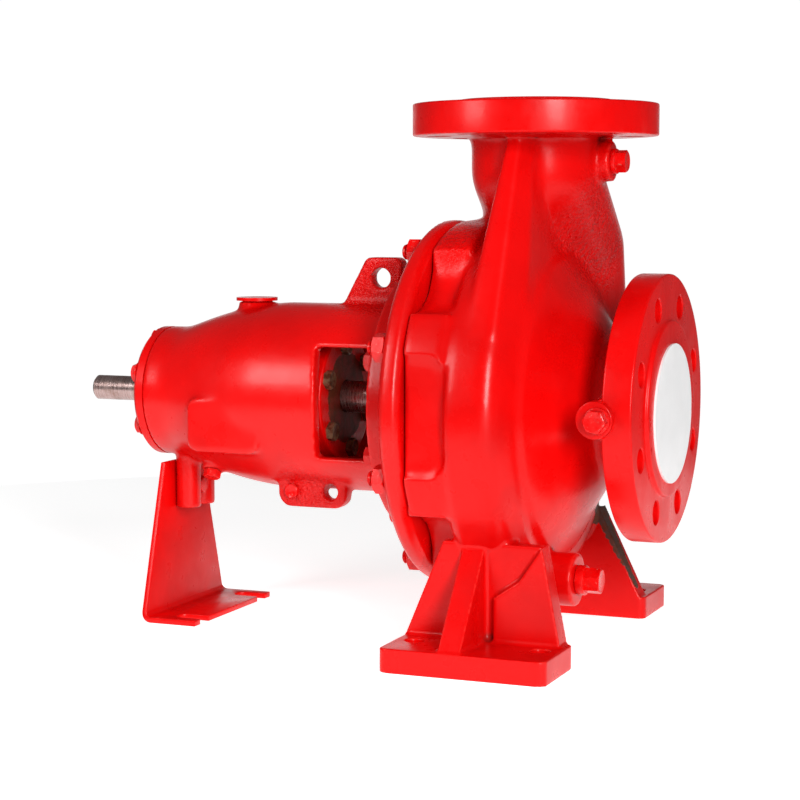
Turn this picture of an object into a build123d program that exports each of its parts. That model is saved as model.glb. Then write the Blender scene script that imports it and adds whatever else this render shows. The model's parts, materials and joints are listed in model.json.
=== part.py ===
from build123d import *
import math
import os

# Bare-shaft end-suction pump with a top discharge, in millimetres.
# The origin is at floor level, midway between the four bolts of the casing feet.
# The shaft runs along X, the suction flange faces +X and the discharge flange faces +Z.
# Rise and drop are measured up and down from the shaft axis.

# Overall reach
shaft_height = 180.0
suction_reach = 108.0
discharge_height = 229.0

# Suction flange, size 80
suction_bore = 80.0
suction_flange_od = 200.0
suction_flange_thick = 22.0
suction_face_od = 132.0
suction_pcd = 160.0
suction_holes = 8

# Discharge flange, size 65
discharge_bore = 65.0
discharge_flange_od = 185.0
discharge_flange_thick = 24.0
discharge_face_od = 118.0
discharge_pcd = 145.0
discharge_holes = 8

# Details shared by both flanges
flange_hole = 18.0
raised_face = 3.0
flange_edge = 1.5
flange_joint = 1.0

# Impeller and the room round it
impeller_radius = 104.0
impeller_clearance = 10.0
impeller_back_x = -16.0
impeller_outlet = 14.0
shroud_thick = 5.0
impeller_eye = 34.0
impeller_eye_x = 34.0
impeller_hub = 22.0
hub_back_length = 10.0
hub_nose = 4.0
vane_count = 6
vane_thick = 5.0
vane_root_radius = 30.0
vane_middle_radius = 68.0
vane_bow = 22.0
vane_bite = 1.0
impeller_nut_flats = 30.0
impeller_nut_length = 14.0
impeller_nut_cap = 3.0
chamber_front_x = 18.0
eye_clearance = 5.0

# Volute: a spiral of four quarter turns, whose centres lie on the corners of a small square
spiral_start_gap = 22.25
spiral_step = 7.5
volute_back_x = -27.0
volute_front_x = 24.0
volute_flank = 22.0
volute_flank_run = 11.0
volute_rounding = 17.0
volute_back_rounding = 12.0
volute_core = 70.0
volute_wall = 9.0
water_flank = 14.0
water_flank_run = 7.0
water_rounding = 9.0
water_core = 80.0

# Front disc and the bell that leads to the suction flange
front_disc_inset = 1.0
front_disc_x = 28.0
bell_x = 40.0
bell_radius = 88.0
nozzle_x = 62.0
nozzle_radius = 54.0

# Discharge neck, upright below the flange and swung to the far side further down
neck_radius = 48.0
neck_upright = 24.0
neck_elbow_y = 69.0
neck_elbow_rise = 116.0
throat_y = 103.0
throat_rise = 12.0
throat_radius = 44.0
throat_bore = 47.0
throat_bore_y = 118.0

# Near-side web between the neck and the shoulder of the volute, with a bevel toward the suction side
web_top_back_x = -2.5
web_top_front_x = 14.5
web_top_y = -57.0
web_top_bevel_x = 7.5
web_top_bevel_y = 10.0
web_top_corner = 3.5
web_foot_rise = 58.5
web_foot_back_x = -15.0
web_foot_front_x = 26.0
web_foot_y = -125.0
web_foot_bevel_x = 14.0
web_foot_bevel_y = 30.0
web_foot_corner = 8.0

# Rear rim of the casing, with a lobe round each stud and a flat pocket on both sides
rim_x = -55.0
rim_stud_margin = 11.0
rim_stud_edge = 14.0
rim_scallop_radius = 40.0
rim_scallop_depth = 19.0
rim_pocket_depth = 11.0
rim_pocket_half_height = 44.0
rim_pocket_corner = 16.0
rim_pocket_front_x = -22.0
rim_pocket_cut = 20.0
rim_overlap = 2.0
rim_step = 5.0
rim_studs = 8
rim_stud_angle = 22.5

# Casing feet
foot_length = 125.0
foot_outer_y = 160.0
foot_inner_y = 94.5
foot_thick = 17.5
foot_corner = 6.0
foot_bolt_x = 95.0
foot_bolt_y = 250.0
foot_bolt_hole = 14.0
foot_web_thick = 12.0
foot_web_top_drop = 92.0
foot_web_back_x = -33.0
foot_web_front_x = 58.0
foot_web_near_x = 44.0
foot_web_far_x = 24.0
foot_rib_x = -9.0
foot_rib_thick = 17.0
foot_rib_edge = 1.0
foot_rib_top_y = 102.0
foot_rib_top_drop = 88.0
foot_cheek_thick = 18.0
foot_cheek_back_x = 8.0
foot_cheek_step_z = 50.0
foot_cheek_neck_x = 27.0
foot_cheek_neck_width = 6.0
foot_cheek_neck_z = 63.0

# Threaded bosses and their hexagon plugs
plug_thread = 12.0
plug_depth = 14.0
hole_clearance = 0.2
gauge_boss_radius = 15.0
gauge_plug_flats = 15.0
gauge_plug_head = 8.0
gauge_collar = 3.0
gauge_collar_radius = 9.5
discharge_boss_drop = 19.0
discharge_boss_y = 10.0
discharge_boss_proud = 10.0
suction_boss_radius = 13.5
suction_boss_proud = 4.5
suction_boss_set_back = 1.0
drain_boss_radius = 20.0
drain_boss_length = 55.0
drain_boss_x = 52.0
drain_boss_y = -50.0
drain_boss_drop = 124.0
drain_plug_flats = 17.0
drain_plug_head = 12.0
drain_collar = 6.0
drain_collar_radius = 11.0

# Casing cover between the casing and the bearing bracket
gasket_thick = 1.0
gasket_width = 3.0
cover_thick = 16.0
cover_edge = 4.0
cover_hub_thick = 10.0
cover_joint = 1.0
cover_dish = 14.0
cover_dish_floor = 2.0
spigot_depth = 16.0
spigot_clearance = 0.15
seal_box_radius = 44.0
seal_box_wall = 6.0
seal_box_thick = 10.0

# Casing studs and nuts
stud_diameter = 12.0
nut_flats = 19.0
nut_height = 10.0
stud_proud = 5.0
stud_depth = 24.0

# Bearing bracket: housing, lantern and flange
bracket_length = 229.0
housing_radius = 52.0
housing_taper = 13.0
housing_middle = 43.0
housing_middle_radius = 61.0
shoulder_run = 34.0
lantern_radius = 73.5
lantern_wall = 11.0
lantern_depth = 84.0
lantern_flange_thick = 15.0
lantern_flange_radius = 101.0
lantern_flare = 14.0
lantern_flare_rise = 6.0
lantern_bolt_edge = 9.0
lantern_bolts = 8
lantern_bolt_angle = 22.5

# Side windows of the lantern
window_half_height = 42.5
window_bow = 5.0

# Lifting lug on top, placed from the bracket's flange face
lug_root = 8.0
top_lug_foot = 78.0
top_lug_crest = 54.0
top_lug_front = 24.0
top_lug_height = 36.5
top_lug_thick = 14.0
top_lug_corner = 6.0
top_lug_hole_place = 42.0
top_lug_hole_depth = 16.0
top_lug_hole = 16.0

# Bolt lug below, placed from the floor of the lantern
low_lug_back = 33.0
low_lug_front = 25.0
low_lug_y = -36.0
low_lug_thick = 14.0
low_lug_height = 11.5
low_lug_root = 19.5
low_lug_corner = 11.0
low_lug_line = 1.5
low_lug_hole_place = 11.0
low_lug_hole = 13.0
low_lug_bolt_place = 20.0
lug_bolt = 6.0
lug_flats = 10.0
lug_head = 4.5

# Raised pad, oil filler and oil drain, placed from the drive end of the housing
pad_place = 49.0
pad_bottom_drop = 41.0
pad_top_rise = 1.0
pad_proud = 9.0
pad_corner = 9.0
pad_root = 40.0
filler_place = 77.0
filler_boss_proud = 6.5
filler_radius = 14.5
filler_thread = 16.0
filler_depth = 10.0
filler_cap_radius = 16.5
filler_cap_height = 2.5
filler_neck_flats = 24.0
filler_neck_height = 0.75
oil_drain_place = 52.0
oil_drain_angle = -117.0
oil_drain_proud = 7.0
oil_drain_boss = 9.0
oil_drain_flats = 12.0
oil_drain_head = 6.0
oil_drain_bore = 10.0
oil_drain_depth = 8.0

# Bearing covers and their bolts
drive_cover_thick = 8.5
drive_cover_edge = 2.5
drive_nose = 7.5
drive_nose_radius = 22.0
drive_bolt_edge = 10.0
pump_cover_radius = 50.0
pump_cover_thick = 10.0
pump_cover_edge = 2.0
pump_bolt_edge = 9.0
cover_bolts = 6
cover_bolt_angle = 157.0
small_bolt = 8.0
small_flats = 13.0
small_head = 5.5
small_depth = 12.0

# Mechanical seal gland
gland_radius = 36.0
gland_thick = 9.0
gland_bolt_edge = 8.0
gland_bolts = 4
gland_stud_proud = 3.0

# Rear support foot, a bent plate bolted to a boss below the housing
support_boss_place = 20.0
support_boss_y = 12.0
support_boss_radius = 10.0
plate_thick = 4.5
plate_top_gap = 4.0
support_boss_below_top = 38.0
plate_top_half = 32.0
plate_foot_half = 68.0
plate_foot_reach = 44.0
slot_y = 51.0
slot_width = 14.0
slot_depth = 24.0
support_bolt_below_top = 21.0
support_bolt_size = 12.0
support_bolt_head = 8.0
support_bolt_depth = 18.0
support_washer_radius = 12.0
support_washer = 2.5

# Shaft and its sleeve
shaft_end_length = 54.5
shaft_end_diameter = 20.0
shaft_seal_diameter = 24.0
shaft_collar_proud = 2.0
shaft_journal = 30.0
shaft_lantern = 25.0
shaft_tail = 20.0
shaft_chamfer = 1.5
journal_inset = 2.0
running_gap = 0.05
seal_gap = 0.5
sleeve_radius = 17.0
sleeve_proud = 27.0

# Blank disc that closes the suction bore
disc_overlap = 12.0
disc_thick = 1.5
disc_drop = 3.5

# Places that follow from the sizes above: casing
chamber_radius = impeller_radius + impeller_clearance
spiral_start_radius = chamber_radius + spiral_start_gap
front_disc_radius = chamber_radius - front_disc_inset
hub_back_x = impeller_back_x - hub_back_length
rim_stud_pcd = 2 * (chamber_radius + rim_stud_margin)
rim_radius = rim_stud_pcd / 2 + rim_stud_edge
rim_scallop_floor = rim_radius - rim_scallop_depth
rim_pocket_floor = rim_radius - rim_pocket_depth
suction_flange_x = suction_reach - raised_face - suction_flange_thick
suction_boss_x = suction_flange_x - suction_boss_set_back
discharge_face_z = shaft_height + discharge_height
discharge_flange_z = discharge_face_z - raised_face - discharge_flange_thick
neck_bend_z = discharge_flange_z - neck_upright
foot_web_top_z = shaft_height - foot_web_top_drop
foot_rib_top_z = shaft_height - foot_rib_top_drop

# Places that follow: cover, bracket and what they carry
cover_front_x = rim_x - gasket_thick
cover_back_x = cover_front_x - cover_thick
bracket_face_x = cover_back_x - cover_hub_thick
seal_box_back_x = bracket_face_x - seal_box_thick
gland_back_x = seal_box_back_x - gland_thick
lantern_flange_x = bracket_face_x - lantern_flange_thick
lantern_pcd = 2 * (lantern_flange_radius - lantern_bolt_edge)
lantern_floor_x = bracket_face_x - lantern_depth
pump_cover_x = lantern_floor_x + pump_cover_thick
shoulder_x = lantern_floor_x - shoulder_run
housing_x = bracket_face_x - bracket_length
drive_cover_x = housing_x - drive_cover_thick
drive_nose_x = drive_cover_x - drive_nose
drive_cover_pcd = 2 * (housing_radius - drive_bolt_edge)
pump_cover_pcd = 2 * (pump_cover_radius - pump_bolt_edge)
gland_pcd = 2 * (gland_radius - gland_bolt_edge)
shaft_end_x = drive_nose_x - shaft_end_length
filler_x = housing_x + filler_place
filler_rise = (housing_middle_radius + lantern_radius) / 2 + filler_boss_proud
filler_top_z = shaft_height + filler_rise
low_lug_bolt_x = lantern_floor_x - low_lug_bolt_place
low_lug_line_z = shaft_height - lantern_radius + low_lug_line
support_boss_x = housing_x + support_boss_place
plate_top_z = shaft_height - housing_radius - plate_top_gap
support_boss_z = plate_top_z - support_boss_below_top
support_bolt_z = plate_top_z - support_bolt_below_top
plate_front_x = support_boss_x - support_boss_radius
plate_back_x = plate_front_x - plate_thick
shaft_axis = Axis((0, 0, shaft_height), (1, 0, 0))
toward_suction = (1, 0, 0)
toward_drive = (-1, 0, 0)
toward_near = (0, -1, 0)
toward_far = (0, 1, 0)
up = (0, 0, 1)


def rod(start, direction, radius, length):
    """Round bar from a point along a direction."""
    return extrude(Plane(origin=start, z_dir=direction) * Circle(radius), length)


def hexagon(start, direction, flats, length):
    """Hexagon bar from a point along a direction."""
    outline = RegularPolygon(flats / 2, 6, major_radius=False)
    return extrude(Plane(origin=start, z_dir=direction) * outline, length)


def disc(x_from, x_to, radius):
    """Cylinder about the shaft axis."""
    return rod((x_from, 0, shaft_height), toward_suction, radius, x_to - x_from)


def turned(points):
    """Body turned about the shaft axis from a closed outline of (x, radius) points."""
    outline = Polyline([(x, 0, shaft_height + r) for x, r in points], close=True)
    return revolve(make_face(outline), axis=shaft_axis)


def box(x_from, x_to, y_from, y_to, z_from, z_to):
    """Block between two corners."""
    size = (x_to - x_from, y_to - y_from, z_to - z_from)
    middle = ((x_from + x_to) / 2, (y_from + y_to) / 2, (z_from + z_to) / 2)
    return Pos(*middle) * Box(*size)


def side_plate(points, y_from, y_to):
    """Plate in the XZ plane, from an outline of (x, z) points."""
    outline = Polyline([(x, y_from, z) for x, z in points], close=True)
    return extrude(make_face(outline), y_to - y_from, dir=(0, 1, 0))


def ring_points(count, pcd, first_turn):
    """(y, z) places evenly round the shaft axis, counted from +Y towards +Z."""
    turns = [math.radians(first_turn + 360.0 * k / count) for k in range(count)]
    return [(pcd / 2 * math.cos(t), shaft_height + pcd / 2 * math.sin(t)) for t in turns]


def flange(od, thick, face_od, pcd, count):
    """Flange with a raised face, standing on the local XY plane."""
    body = Cylinder(od / 2, thick, align=(Align.CENTER, Align.CENTER, Align.MIN))
    body = chamfer(body.edges().filter_by(GeomType.CIRCLE), flange_edge)
    face = Cylinder(face_od / 2, raised_face, align=(Align.CENTER, Align.CENTER, Align.MIN))
    holes = PolarLocations(pcd / 2, count, start_angle=180.0 / count) * Cylinder(
        flange_hole / 2, thick, align=(Align.CENTER, Align.CENTER, Align.MIN)
    )
    return body + Pos(0, 0, thick) * face - holes


def spiral(inset, back_x, front_x, flank, flank_run, roundings, inner_radius):
    """Spiral ring of the volute: four quarter turns, each about its own corner of the square."""
    half = spiral_step / 2
    centres = [(-half, -half), (half, -half), (half, half), (-half, half)]
    quarters = []
    for k, (cy, cz) in enumerate(centres):
        outer = spiral_start_radius + k * spiral_step - inset
        outline = FilletPolyline(
            (back_x, outer - flank),
            (back_x, outer),
            (front_x - flank_run, outer),
            (front_x, outer - flank),
            radius=roundings,
        )
        close = Polyline(
            (front_x, outer - flank),
            (front_x, inner_radius),
            (back_x, inner_radius),
            (back_x, outer - flank),
        )
        section = make_face([outline, close])
        start_turn = math.radians(90.0 + 90.0 * k)
        outward = (0, math.cos(start_turn), math.sin(start_turn))
        plane = Plane(
            origin=(0, cy, shaft_height + cz),
            x_dir=toward_suction,
            z_dir=Vector(1, 0, 0).cross(Vector(*outward)),
        )
        axis = Axis((0, cy, shaft_height + cz), toward_suction)
        quarters.append(revolve(plane * section, axis=axis, revolution_arc=90.0))
    return quarters


def neck(top_radius, low_radius, low_y, top_z):
    """Discharge neck or its bore: upright at the top, then two leaning lengths to the far side."""
    bend = Vector(0, 0, neck_bend_z)
    elbow = Vector(0, neck_elbow_y, shaft_height + neck_elbow_rise)
    throat = Vector(0, low_y, shaft_height + throat_rise)
    upper = elbow - bend
    lower = throat - elbow
    body = rod(bend, up, top_radius, top_z - neck_bend_z)
    body += Pos(*bend) * Sphere(top_radius)
    body += rod(bend, upper, top_radius, upper.length)
    body += Pos(*elbow) * Sphere(top_radius)
    body += Plane(origin=elbow, z_dir=lower) * Cone(
        top_radius, low_radius, lower.length, align=(Align.CENTER, Align.CENTER, Align.MIN)
    )
    return body


def web_section(z, back_x, front_x, face_y, bevel_x, bevel_y, corner):
    """Level section of the near-side web, rounded at the corners that show."""
    outline = Polyline(
        (back_x, 0),
        (back_x, face_y),
        (front_x - bevel_x, face_y),
        (front_x, face_y + bevel_y),
        (front_x, 0),
        close=True,
    )
    section = make_face(outline)
    section = fillet(section.vertices().filter_by(lambda place: place.Y < 0), corner)
    return Plane.XY.offset(z) * section


def lobed_rim():
    """Rear rim of the casing, scalloped between the studs, with a pocket on both sides."""
    depth = volute_back_x + rim_overlap - rim_x
    rim = disc(rim_x, rim_x + depth, rim_radius)
    centre = rim_scallop_floor + rim_scallop_radius
    for turn in range(45, 360, 90):
        angle = math.radians(turn)
        place = (rim_x, centre * math.cos(angle), shaft_height + centre * math.sin(angle))
        rim -= rod(place, toward_suction, rim_scallop_radius, depth)
    return rim


def rim_pocket(side):
    """Room of the flat pocket in the rim and the flank of the volute, on one side."""
    length = 2 * (rim_pocket_front_x - rim_x)
    outline = Plane.XZ.offset(-side * (rim_pocket_floor + rim_pocket_cut)) * Pos(
        rim_x, shaft_height, 0
    ) * RectangleRounded(length, 2 * rim_pocket_half_height, rim_pocket_corner)
    return extrude(outline, side * rim_pocket_cut)


def feet():
    """Both casing feet with their webs and ribs."""
    half = foot_length / 2
    result = []
    for side, top_front_x in ((-1, foot_web_near_x), (1, foot_web_far_x)):
        inner = side * foot_inner_y
        outer = side * foot_outer_y
        low_y, high_y = min(inner, outer), max(inner, outer)
        base = box(-half, half, low_y, high_y, 0, foot_thick)
        base = fillet(base.edges().filter_by(Axis.Z), foot_corner)
        for x in (-foot_bolt_x / 2, foot_bolt_x / 2):
            base -= rod((x, side * foot_bolt_y / 2, 0), up, foot_bolt_hole / 2, foot_thick)
        web_face = inner + side * foot_web_thick
        web = side_plate(
            [
                (-half, foot_thick),
                (foot_web_front_x, foot_thick),
                (top_front_x, foot_web_top_z),
                (foot_web_back_x, foot_web_top_z),
            ],
            min(inner, web_face),
            max(inner, web_face),
        )
        cheek_face = inner + side * foot_cheek_thick
        cheek = side_plate(
            [
                (foot_cheek_back_x, foot_thick),
                (foot_web_front_x, foot_thick),
                (top_front_x, foot_web_top_z),
                (min(foot_cheek_neck_x, top_front_x - foot_cheek_neck_width), foot_cheek_neck_z),
                (foot_cheek_back_x, foot_cheek_step_z),
            ],
            min(inner, cheek_face),
            max(inner, cheek_face),
        )
        rib_outline = Polyline(
            (foot_rib_x - foot_rib_thick / 2, inner, foot_thick),
            (foot_rib_x - foot_rib_thick / 2, outer - side * foot_rib_edge, foot_thick),
            (foot_rib_x - foot_rib_thick / 2, side * foot_rib_top_y, foot_rib_top_z),
            (foot_rib_x - foot_rib_thick / 2, inner, foot_rib_top_z),
            close=True,
        )
        rib = extrude(make_face(rib_outline), foot_rib_thick, dir=toward_suction)
        result += [base, web, cheek, rib]
    return result


def plug(start, direction, collar_radius, collar, flats, head):
    """Hexagon plug with its collar, screwed into a boss whose face is at the start point."""
    back = Vector(*start) - Vector(*direction) * plug_depth
    body = rod(back, direction, plug_thread / 2, plug_depth)
    body += rod(start, direction, collar_radius, collar)
    head_start = Vector(*start) + Vector(*direction) * collar
    return body + hexagon(head_start, direction, flats, head)


def plug_hole(start, direction):
    """Blind hole of a plug."""
    back = Vector(*start) - Vector(*direction) * plug_depth
    return rod(back, direction, plug_thread / 2 + hole_clearance, plug_depth)


def bolt(seat, direction, flats, head, shank_radius, shank):
    """Hexagon bolt: its head stands on the seat and its shank runs back from it."""
    out = Vector(*direction)
    start = Vector(*seat) - out * shank
    return rod(start, out, shank_radius, shank) + hexagon(Vector(*seat), out, flats, head)


def save(name, body):
    """One file for each named piece."""
    export_step(body, "parts/" + name + ".step")


os.makedirs("parts", exist_ok=True)

# Seats of the three casing plugs
discharge_boss_reach = neck_radius + discharge_boss_proud
discharge_boss_z = discharge_flange_z - discharge_boss_drop
suction_boss_reach = suction_flange_od / 2 + suction_boss_proud
drain_boss_z = shaft_height - drain_boss_drop
discharge_plug_seat = (discharge_boss_reach, discharge_boss_y, discharge_boss_z)
suction_plug_seat = (suction_boss_x, -suction_boss_reach, shaft_height)
drain_plug_seat = (drain_boss_x, drain_boss_y, drain_boss_z)

# Volute casing
outside = lobed_rim()
for quarter in spiral(
    0,
    volute_back_x,
    volute_front_x,
    volute_flank,
    volute_flank_run,
    (volute_back_rounding, volute_rounding),
    volute_core,
):
    outside += quarter
outside += turned(
    [
        (rim_x + rim_step, 0),
        (rim_x + rim_step, rim_scallop_floor),
        (volute_back_x, rim_scallop_floor),
        (0, front_disc_radius),
        (front_disc_x, front_disc_radius),
        (bell_x, bell_radius),
        (nozzle_x, nozzle_radius),
        (suction_flange_x + flange_joint, nozzle_radius),
        (suction_flange_x + flange_joint, 0),
    ]
)
for side in (-1, 1):
    outside -= rim_pocket(side)
outside += neck(neck_radius, throat_radius, throat_y, discharge_flange_z + flange_joint)
web_top = web_section(
    discharge_flange_z + flange_joint,
    web_top_back_x,
    web_top_front_x,
    web_top_y,
    web_top_bevel_x,
    web_top_bevel_y,
    web_top_corner,
)
web_low = web_section(
    shaft_height + web_foot_rise,
    web_foot_back_x,
    web_foot_front_x,
    web_foot_y,
    web_foot_bevel_x,
    web_foot_bevel_y,
    web_foot_corner,
)
outside += loft([web_low, web_top], ruled=True)
outside += rod(
    (0, discharge_boss_y, discharge_boss_z), toward_suction, gauge_boss_radius, discharge_boss_reach
)
outside += rod((suction_boss_x, 0, shaft_height), toward_near, suction_boss_radius, suction_boss_reach)
outside += rod(
    (drain_boss_x - drain_boss_length, drain_boss_y, drain_boss_z),
    toward_suction,
    drain_boss_radius,
    drain_boss_length,
)
for piece in feet():
    outside += piece
suction_flange = Plane(
    origin=(suction_flange_x, 0, shaft_height), x_dir=(0, 1, 0), z_dir=toward_suction
) * flange(suction_flange_od, suction_flange_thick, suction_face_od, suction_pcd, suction_holes)
discharge_flange = Pos(0, 0, discharge_flange_z) * flange(
    discharge_flange_od, discharge_flange_thick, discharge_face_od, discharge_pcd, discharge_holes
)
casing = outside + suction_flange + discharge_flange

eye_radius = impeller_eye + shroud_thick + eye_clearance
room = disc(rim_x, volute_back_x + rim_overlap, chamber_radius)
room += disc(volute_back_x, chamber_front_x, front_disc_radius - volute_wall)
room += disc(chamber_front_x - rim_overlap, impeller_eye_x + eye_clearance, eye_radius)
room += disc(impeller_eye_x, suction_reach, suction_bore / 2)
for quarter in spiral(
    volute_wall,
    volute_back_x + volute_wall,
    chamber_front_x,
    water_flank,
    water_flank_run,
    (water_rounding, water_rounding),
    water_core,
):
    room += quarter
room += neck(discharge_bore / 2, throat_bore / 2, throat_bore_y, discharge_face_z)
casing -= room
for seat, direction in (
    (discharge_plug_seat, toward_suction),
    (suction_plug_seat, toward_near),
    (drain_plug_seat, toward_suction),
):
    casing -= plug_hole(seat, direction)
for y, z in ring_points(rim_studs, rim_stud_pcd, rim_stud_angle):
    casing -= rod((rim_x, y, z), toward_suction, stud_diameter / 2, stud_depth)
save("volute_casing", casing)

gauge_plug_sizes = (gauge_collar_radius, gauge_collar, gauge_plug_flats, gauge_plug_head)
drain_plug_sizes = (drain_collar_radius, drain_collar, drain_plug_flats, drain_plug_head)
save("discharge_gauge_plug", plug(discharge_plug_seat, toward_suction, *gauge_plug_sizes))
save("suction_gauge_plug", plug(suction_plug_seat, toward_near, *gauge_plug_sizes))
save("casing_drain_plug", plug(drain_plug_seat, toward_suction, *drain_plug_sizes))

# Casing cover with the seal box
cover = disc(cover_back_x, cover_front_x, rim_radius)
cover = chamfer(cover.edges().filter_by(GeomType.CIRCLE), cover_edge)
cover += disc(bracket_face_x, cover_back_x + cover_joint, lantern_flange_radius)
cover += disc(cover_front_x - cover_joint, rim_x + spigot_depth, chamber_radius - spigot_clearance)
cover += disc(seal_box_back_x, bracket_face_x + cover_joint, seal_box_radius)
cover -= turned(
    [
        (cover_front_x - cover_dish_floor, seal_box_radius + seal_box_wall),
        (cover_front_x - cover_dish_floor, chamber_radius - cover_dish),
        (rim_x + spigot_depth, chamber_radius - cover_dish),
        (rim_x + spigot_depth, seal_box_radius + seal_box_wall),
    ]
)
cover -= disc(seal_box_back_x, rim_x + spigot_depth, sleeve_radius + seal_gap)
for y, z in ring_points(rim_studs, rim_stud_pcd, rim_stud_angle):
    cover -= rod((cover_back_x, y, z), toward_suction, stud_diameter / 2 + hole_clearance, cover_thick)
for y, z in ring_points(lantern_bolts, lantern_pcd, lantern_bolt_angle):
    cover -= rod((bracket_face_x, y, z), toward_suction, small_bolt / 2, small_depth)
for y, z in ring_points(gland_bolts, gland_pcd, 0.0):
    cover -= rod((seal_box_back_x, y, z), toward_suction, small_bolt / 2, small_depth)
save("casing_cover", cover)

gasket = disc(cover_front_x, rim_x, chamber_radius + gasket_width)
gasket -= disc(cover_front_x, rim_x, chamber_radius)
save("cover_gasket", gasket)

# Casing studs and nuts
studs = []
nuts = []
for y, z in ring_points(rim_studs, rim_stud_pcd, rim_stud_angle):
    back_x = cover_back_x - nut_height - stud_proud
    studs.append(rod((back_x, y, z), toward_suction, stud_diameter / 2, rim_x + stud_depth - back_x))
    nut = hexagon((cover_back_x - nut_height, y, z), toward_suction, nut_flats, nut_height)
    nut -= rod((cover_back_x - nut_height, y, z), toward_suction, stud_diameter / 2, nut_height)
    nuts.append(nut)
save("casing_studs", Compound(studs))
save("casing_nuts", Compound(nuts))

# Bearing bracket
taper_x = housing_x + housing_taper
profile_top = Spline(
    (taper_x, 0, shaft_height + housing_radius),
    (housing_x + housing_middle, 0, shaft_height + housing_middle_radius),
    (shoulder_x, 0, shaft_height + lantern_radius),
    tangents=[toward_suction, toward_suction],
    tangent_scalars=[0.6, 0.6],
)
lantern_end = lantern_flange_x - lantern_flare
profile_rest = Polyline(
    [
        (shoulder_x, 0, shaft_height + lantern_radius),
        (lantern_end, 0, shaft_height + lantern_radius),
        (lantern_flange_x, 0, shaft_height + lantern_radius + lantern_flare_rise),
        (lantern_flange_x, 0, shaft_height + lantern_flange_radius),
        (bracket_face_x, 0, shaft_height + lantern_flange_radius),
        (bracket_face_x, 0, shaft_height),
        (housing_x, 0, shaft_height),
        (housing_x, 0, shaft_height + housing_radius),
        (taper_x, 0, shaft_height + housing_radius),
    ]
)
bracket = revolve(make_face([profile_top, profile_rest]), axis=shaft_axis)

lantern_top_z = shaft_height + lantern_radius
lantern_low_z = shaft_height - lantern_radius
top_lug_z = lantern_top_z + top_lug_height
top_lug = side_plate(
    [
        (bracket_face_x - top_lug_foot, lantern_top_z - lug_root),
        (bracket_face_x - top_lug_crest, top_lug_z),
        (bracket_face_x - top_lug_front, top_lug_z),
        (bracket_face_x - top_lug_front, lantern_top_z - lug_root),
    ],
    -top_lug_thick / 2,
    top_lug_thick / 2,
)
top_lug = fillet(top_lug.edges().filter_by(Axis.Y).group_by(Axis.Z)[-1], top_lug_corner)
bracket += top_lug
bracket -= rod(
    (bracket_face_x - top_lug_hole_place, -top_lug_thick, top_lug_z - top_lug_hole_depth),
    toward_far,
    top_lug_hole / 2,
    2 * top_lug_thick,
)
low_lug = box(
    lantern_floor_x - low_lug_back,
    lantern_floor_x + low_lug_front,
    low_lug_y,
    low_lug_y + low_lug_thick,
    lantern_low_z - low_lug_height,
    lantern_low_z + low_lug_root,
)
low_lug = fillet(low_lug.edges().filter_by(Axis.Y).group_by(Axis.Z)[0], low_lug_corner)
bracket += low_lug
pad_length = shoulder_x - housing_x - pad_place
pad_height = pad_bottom_drop + pad_top_rise
pad = Plane.XZ.offset(housing_middle_radius + pad_proud) * Pos(
    shoulder_x - pad_length / 2, shaft_height + pad_top_rise - pad_height / 2, 0
) * RectangleRounded(pad_length, pad_height, pad_corner)
bracket += extrude(pad, -pad_root)
bracket += rod((filler_x, 0, shaft_height), up, filler_radius, filler_top_z - shaft_height)
for side in (-1, 1):
    bracket += rod(
        (support_boss_x, side * support_boss_y, support_boss_z),
        up,
        support_boss_radius,
        shaft_height - support_boss_z,
    )
bracket += box(
    plate_front_x,
    support_boss_x,
    -support_boss_y,
    support_boss_y,
    support_boss_z,
    shaft_height,
)
oil_turn = math.radians(oil_drain_angle)
oil_out = Vector(0, math.cos(oil_turn), math.sin(oil_turn))
oil_drain_reach = housing_middle_radius + oil_drain_proud
oil_drain_start = Vector(housing_x + oil_drain_place, 0, shaft_height)
oil_seat = oil_drain_start + oil_out * oil_drain_reach
bracket += rod(oil_drain_start, oil_out, oil_drain_boss, oil_drain_reach)

cavity_radius = lantern_radius - lantern_wall
bracket -= disc(lantern_floor_x, bracket_face_x, cavity_radius)
window_top = shaft_height + window_half_height
window_bottom = shaft_height - window_half_height
window = make_face(
    [
        ThreePointArc(
            (pump_cover_x, -lantern_flange_radius, window_bottom),
            (pump_cover_x + window_bow, -lantern_flange_radius, shaft_height),
            (pump_cover_x, -lantern_flange_radius, window_top),
        ),
        Polyline(
            (pump_cover_x, -lantern_flange_radius, window_top),
            (lantern_flange_x, -lantern_flange_radius, window_top),
            (lantern_flange_x, -lantern_flange_radius, window_bottom),
            (pump_cover_x, -lantern_flange_radius, window_bottom),
        ),
    ]
)
bracket -= extrude(window, 2 * lantern_flange_radius, dir=toward_far)
bracket -= disc(housing_x, lantern_floor_x, shaft_journal / 2 + running_gap)
bracket -= rod(
    (lantern_floor_x + low_lug_hole_place, low_lug_y, low_lug_line_z),
    toward_far,
    low_lug_hole / 2,
    low_lug_thick,
)
bracket -= rod(
    (low_lug_bolt_x, low_lug_y, low_lug_line_z), toward_far, lug_bolt / 2, low_lug_thick
)
bracket -= rod(
    (plate_front_x, 0, support_bolt_z), toward_suction, support_bolt_size / 2, support_bolt_depth
)
bracket -= rod(oil_seat - oil_out * oil_drain_depth, oil_out, oil_drain_bore / 2, oil_drain_depth)
bracket -= rod((filler_x, 0, filler_top_z - filler_depth), up, filler_thread / 2, filler_depth)
for y, z in ring_points(lantern_bolts, lantern_pcd, lantern_bolt_angle):
    bracket -= rod((lantern_flange_x, y, z), toward_suction, small_bolt / 2, lantern_flange_thick)
for y, z in ring_points(cover_bolts, drive_cover_pcd, cover_bolt_angle):
    bracket -= rod((housing_x, y, z), toward_suction, small_bolt / 2, small_depth)
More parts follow.
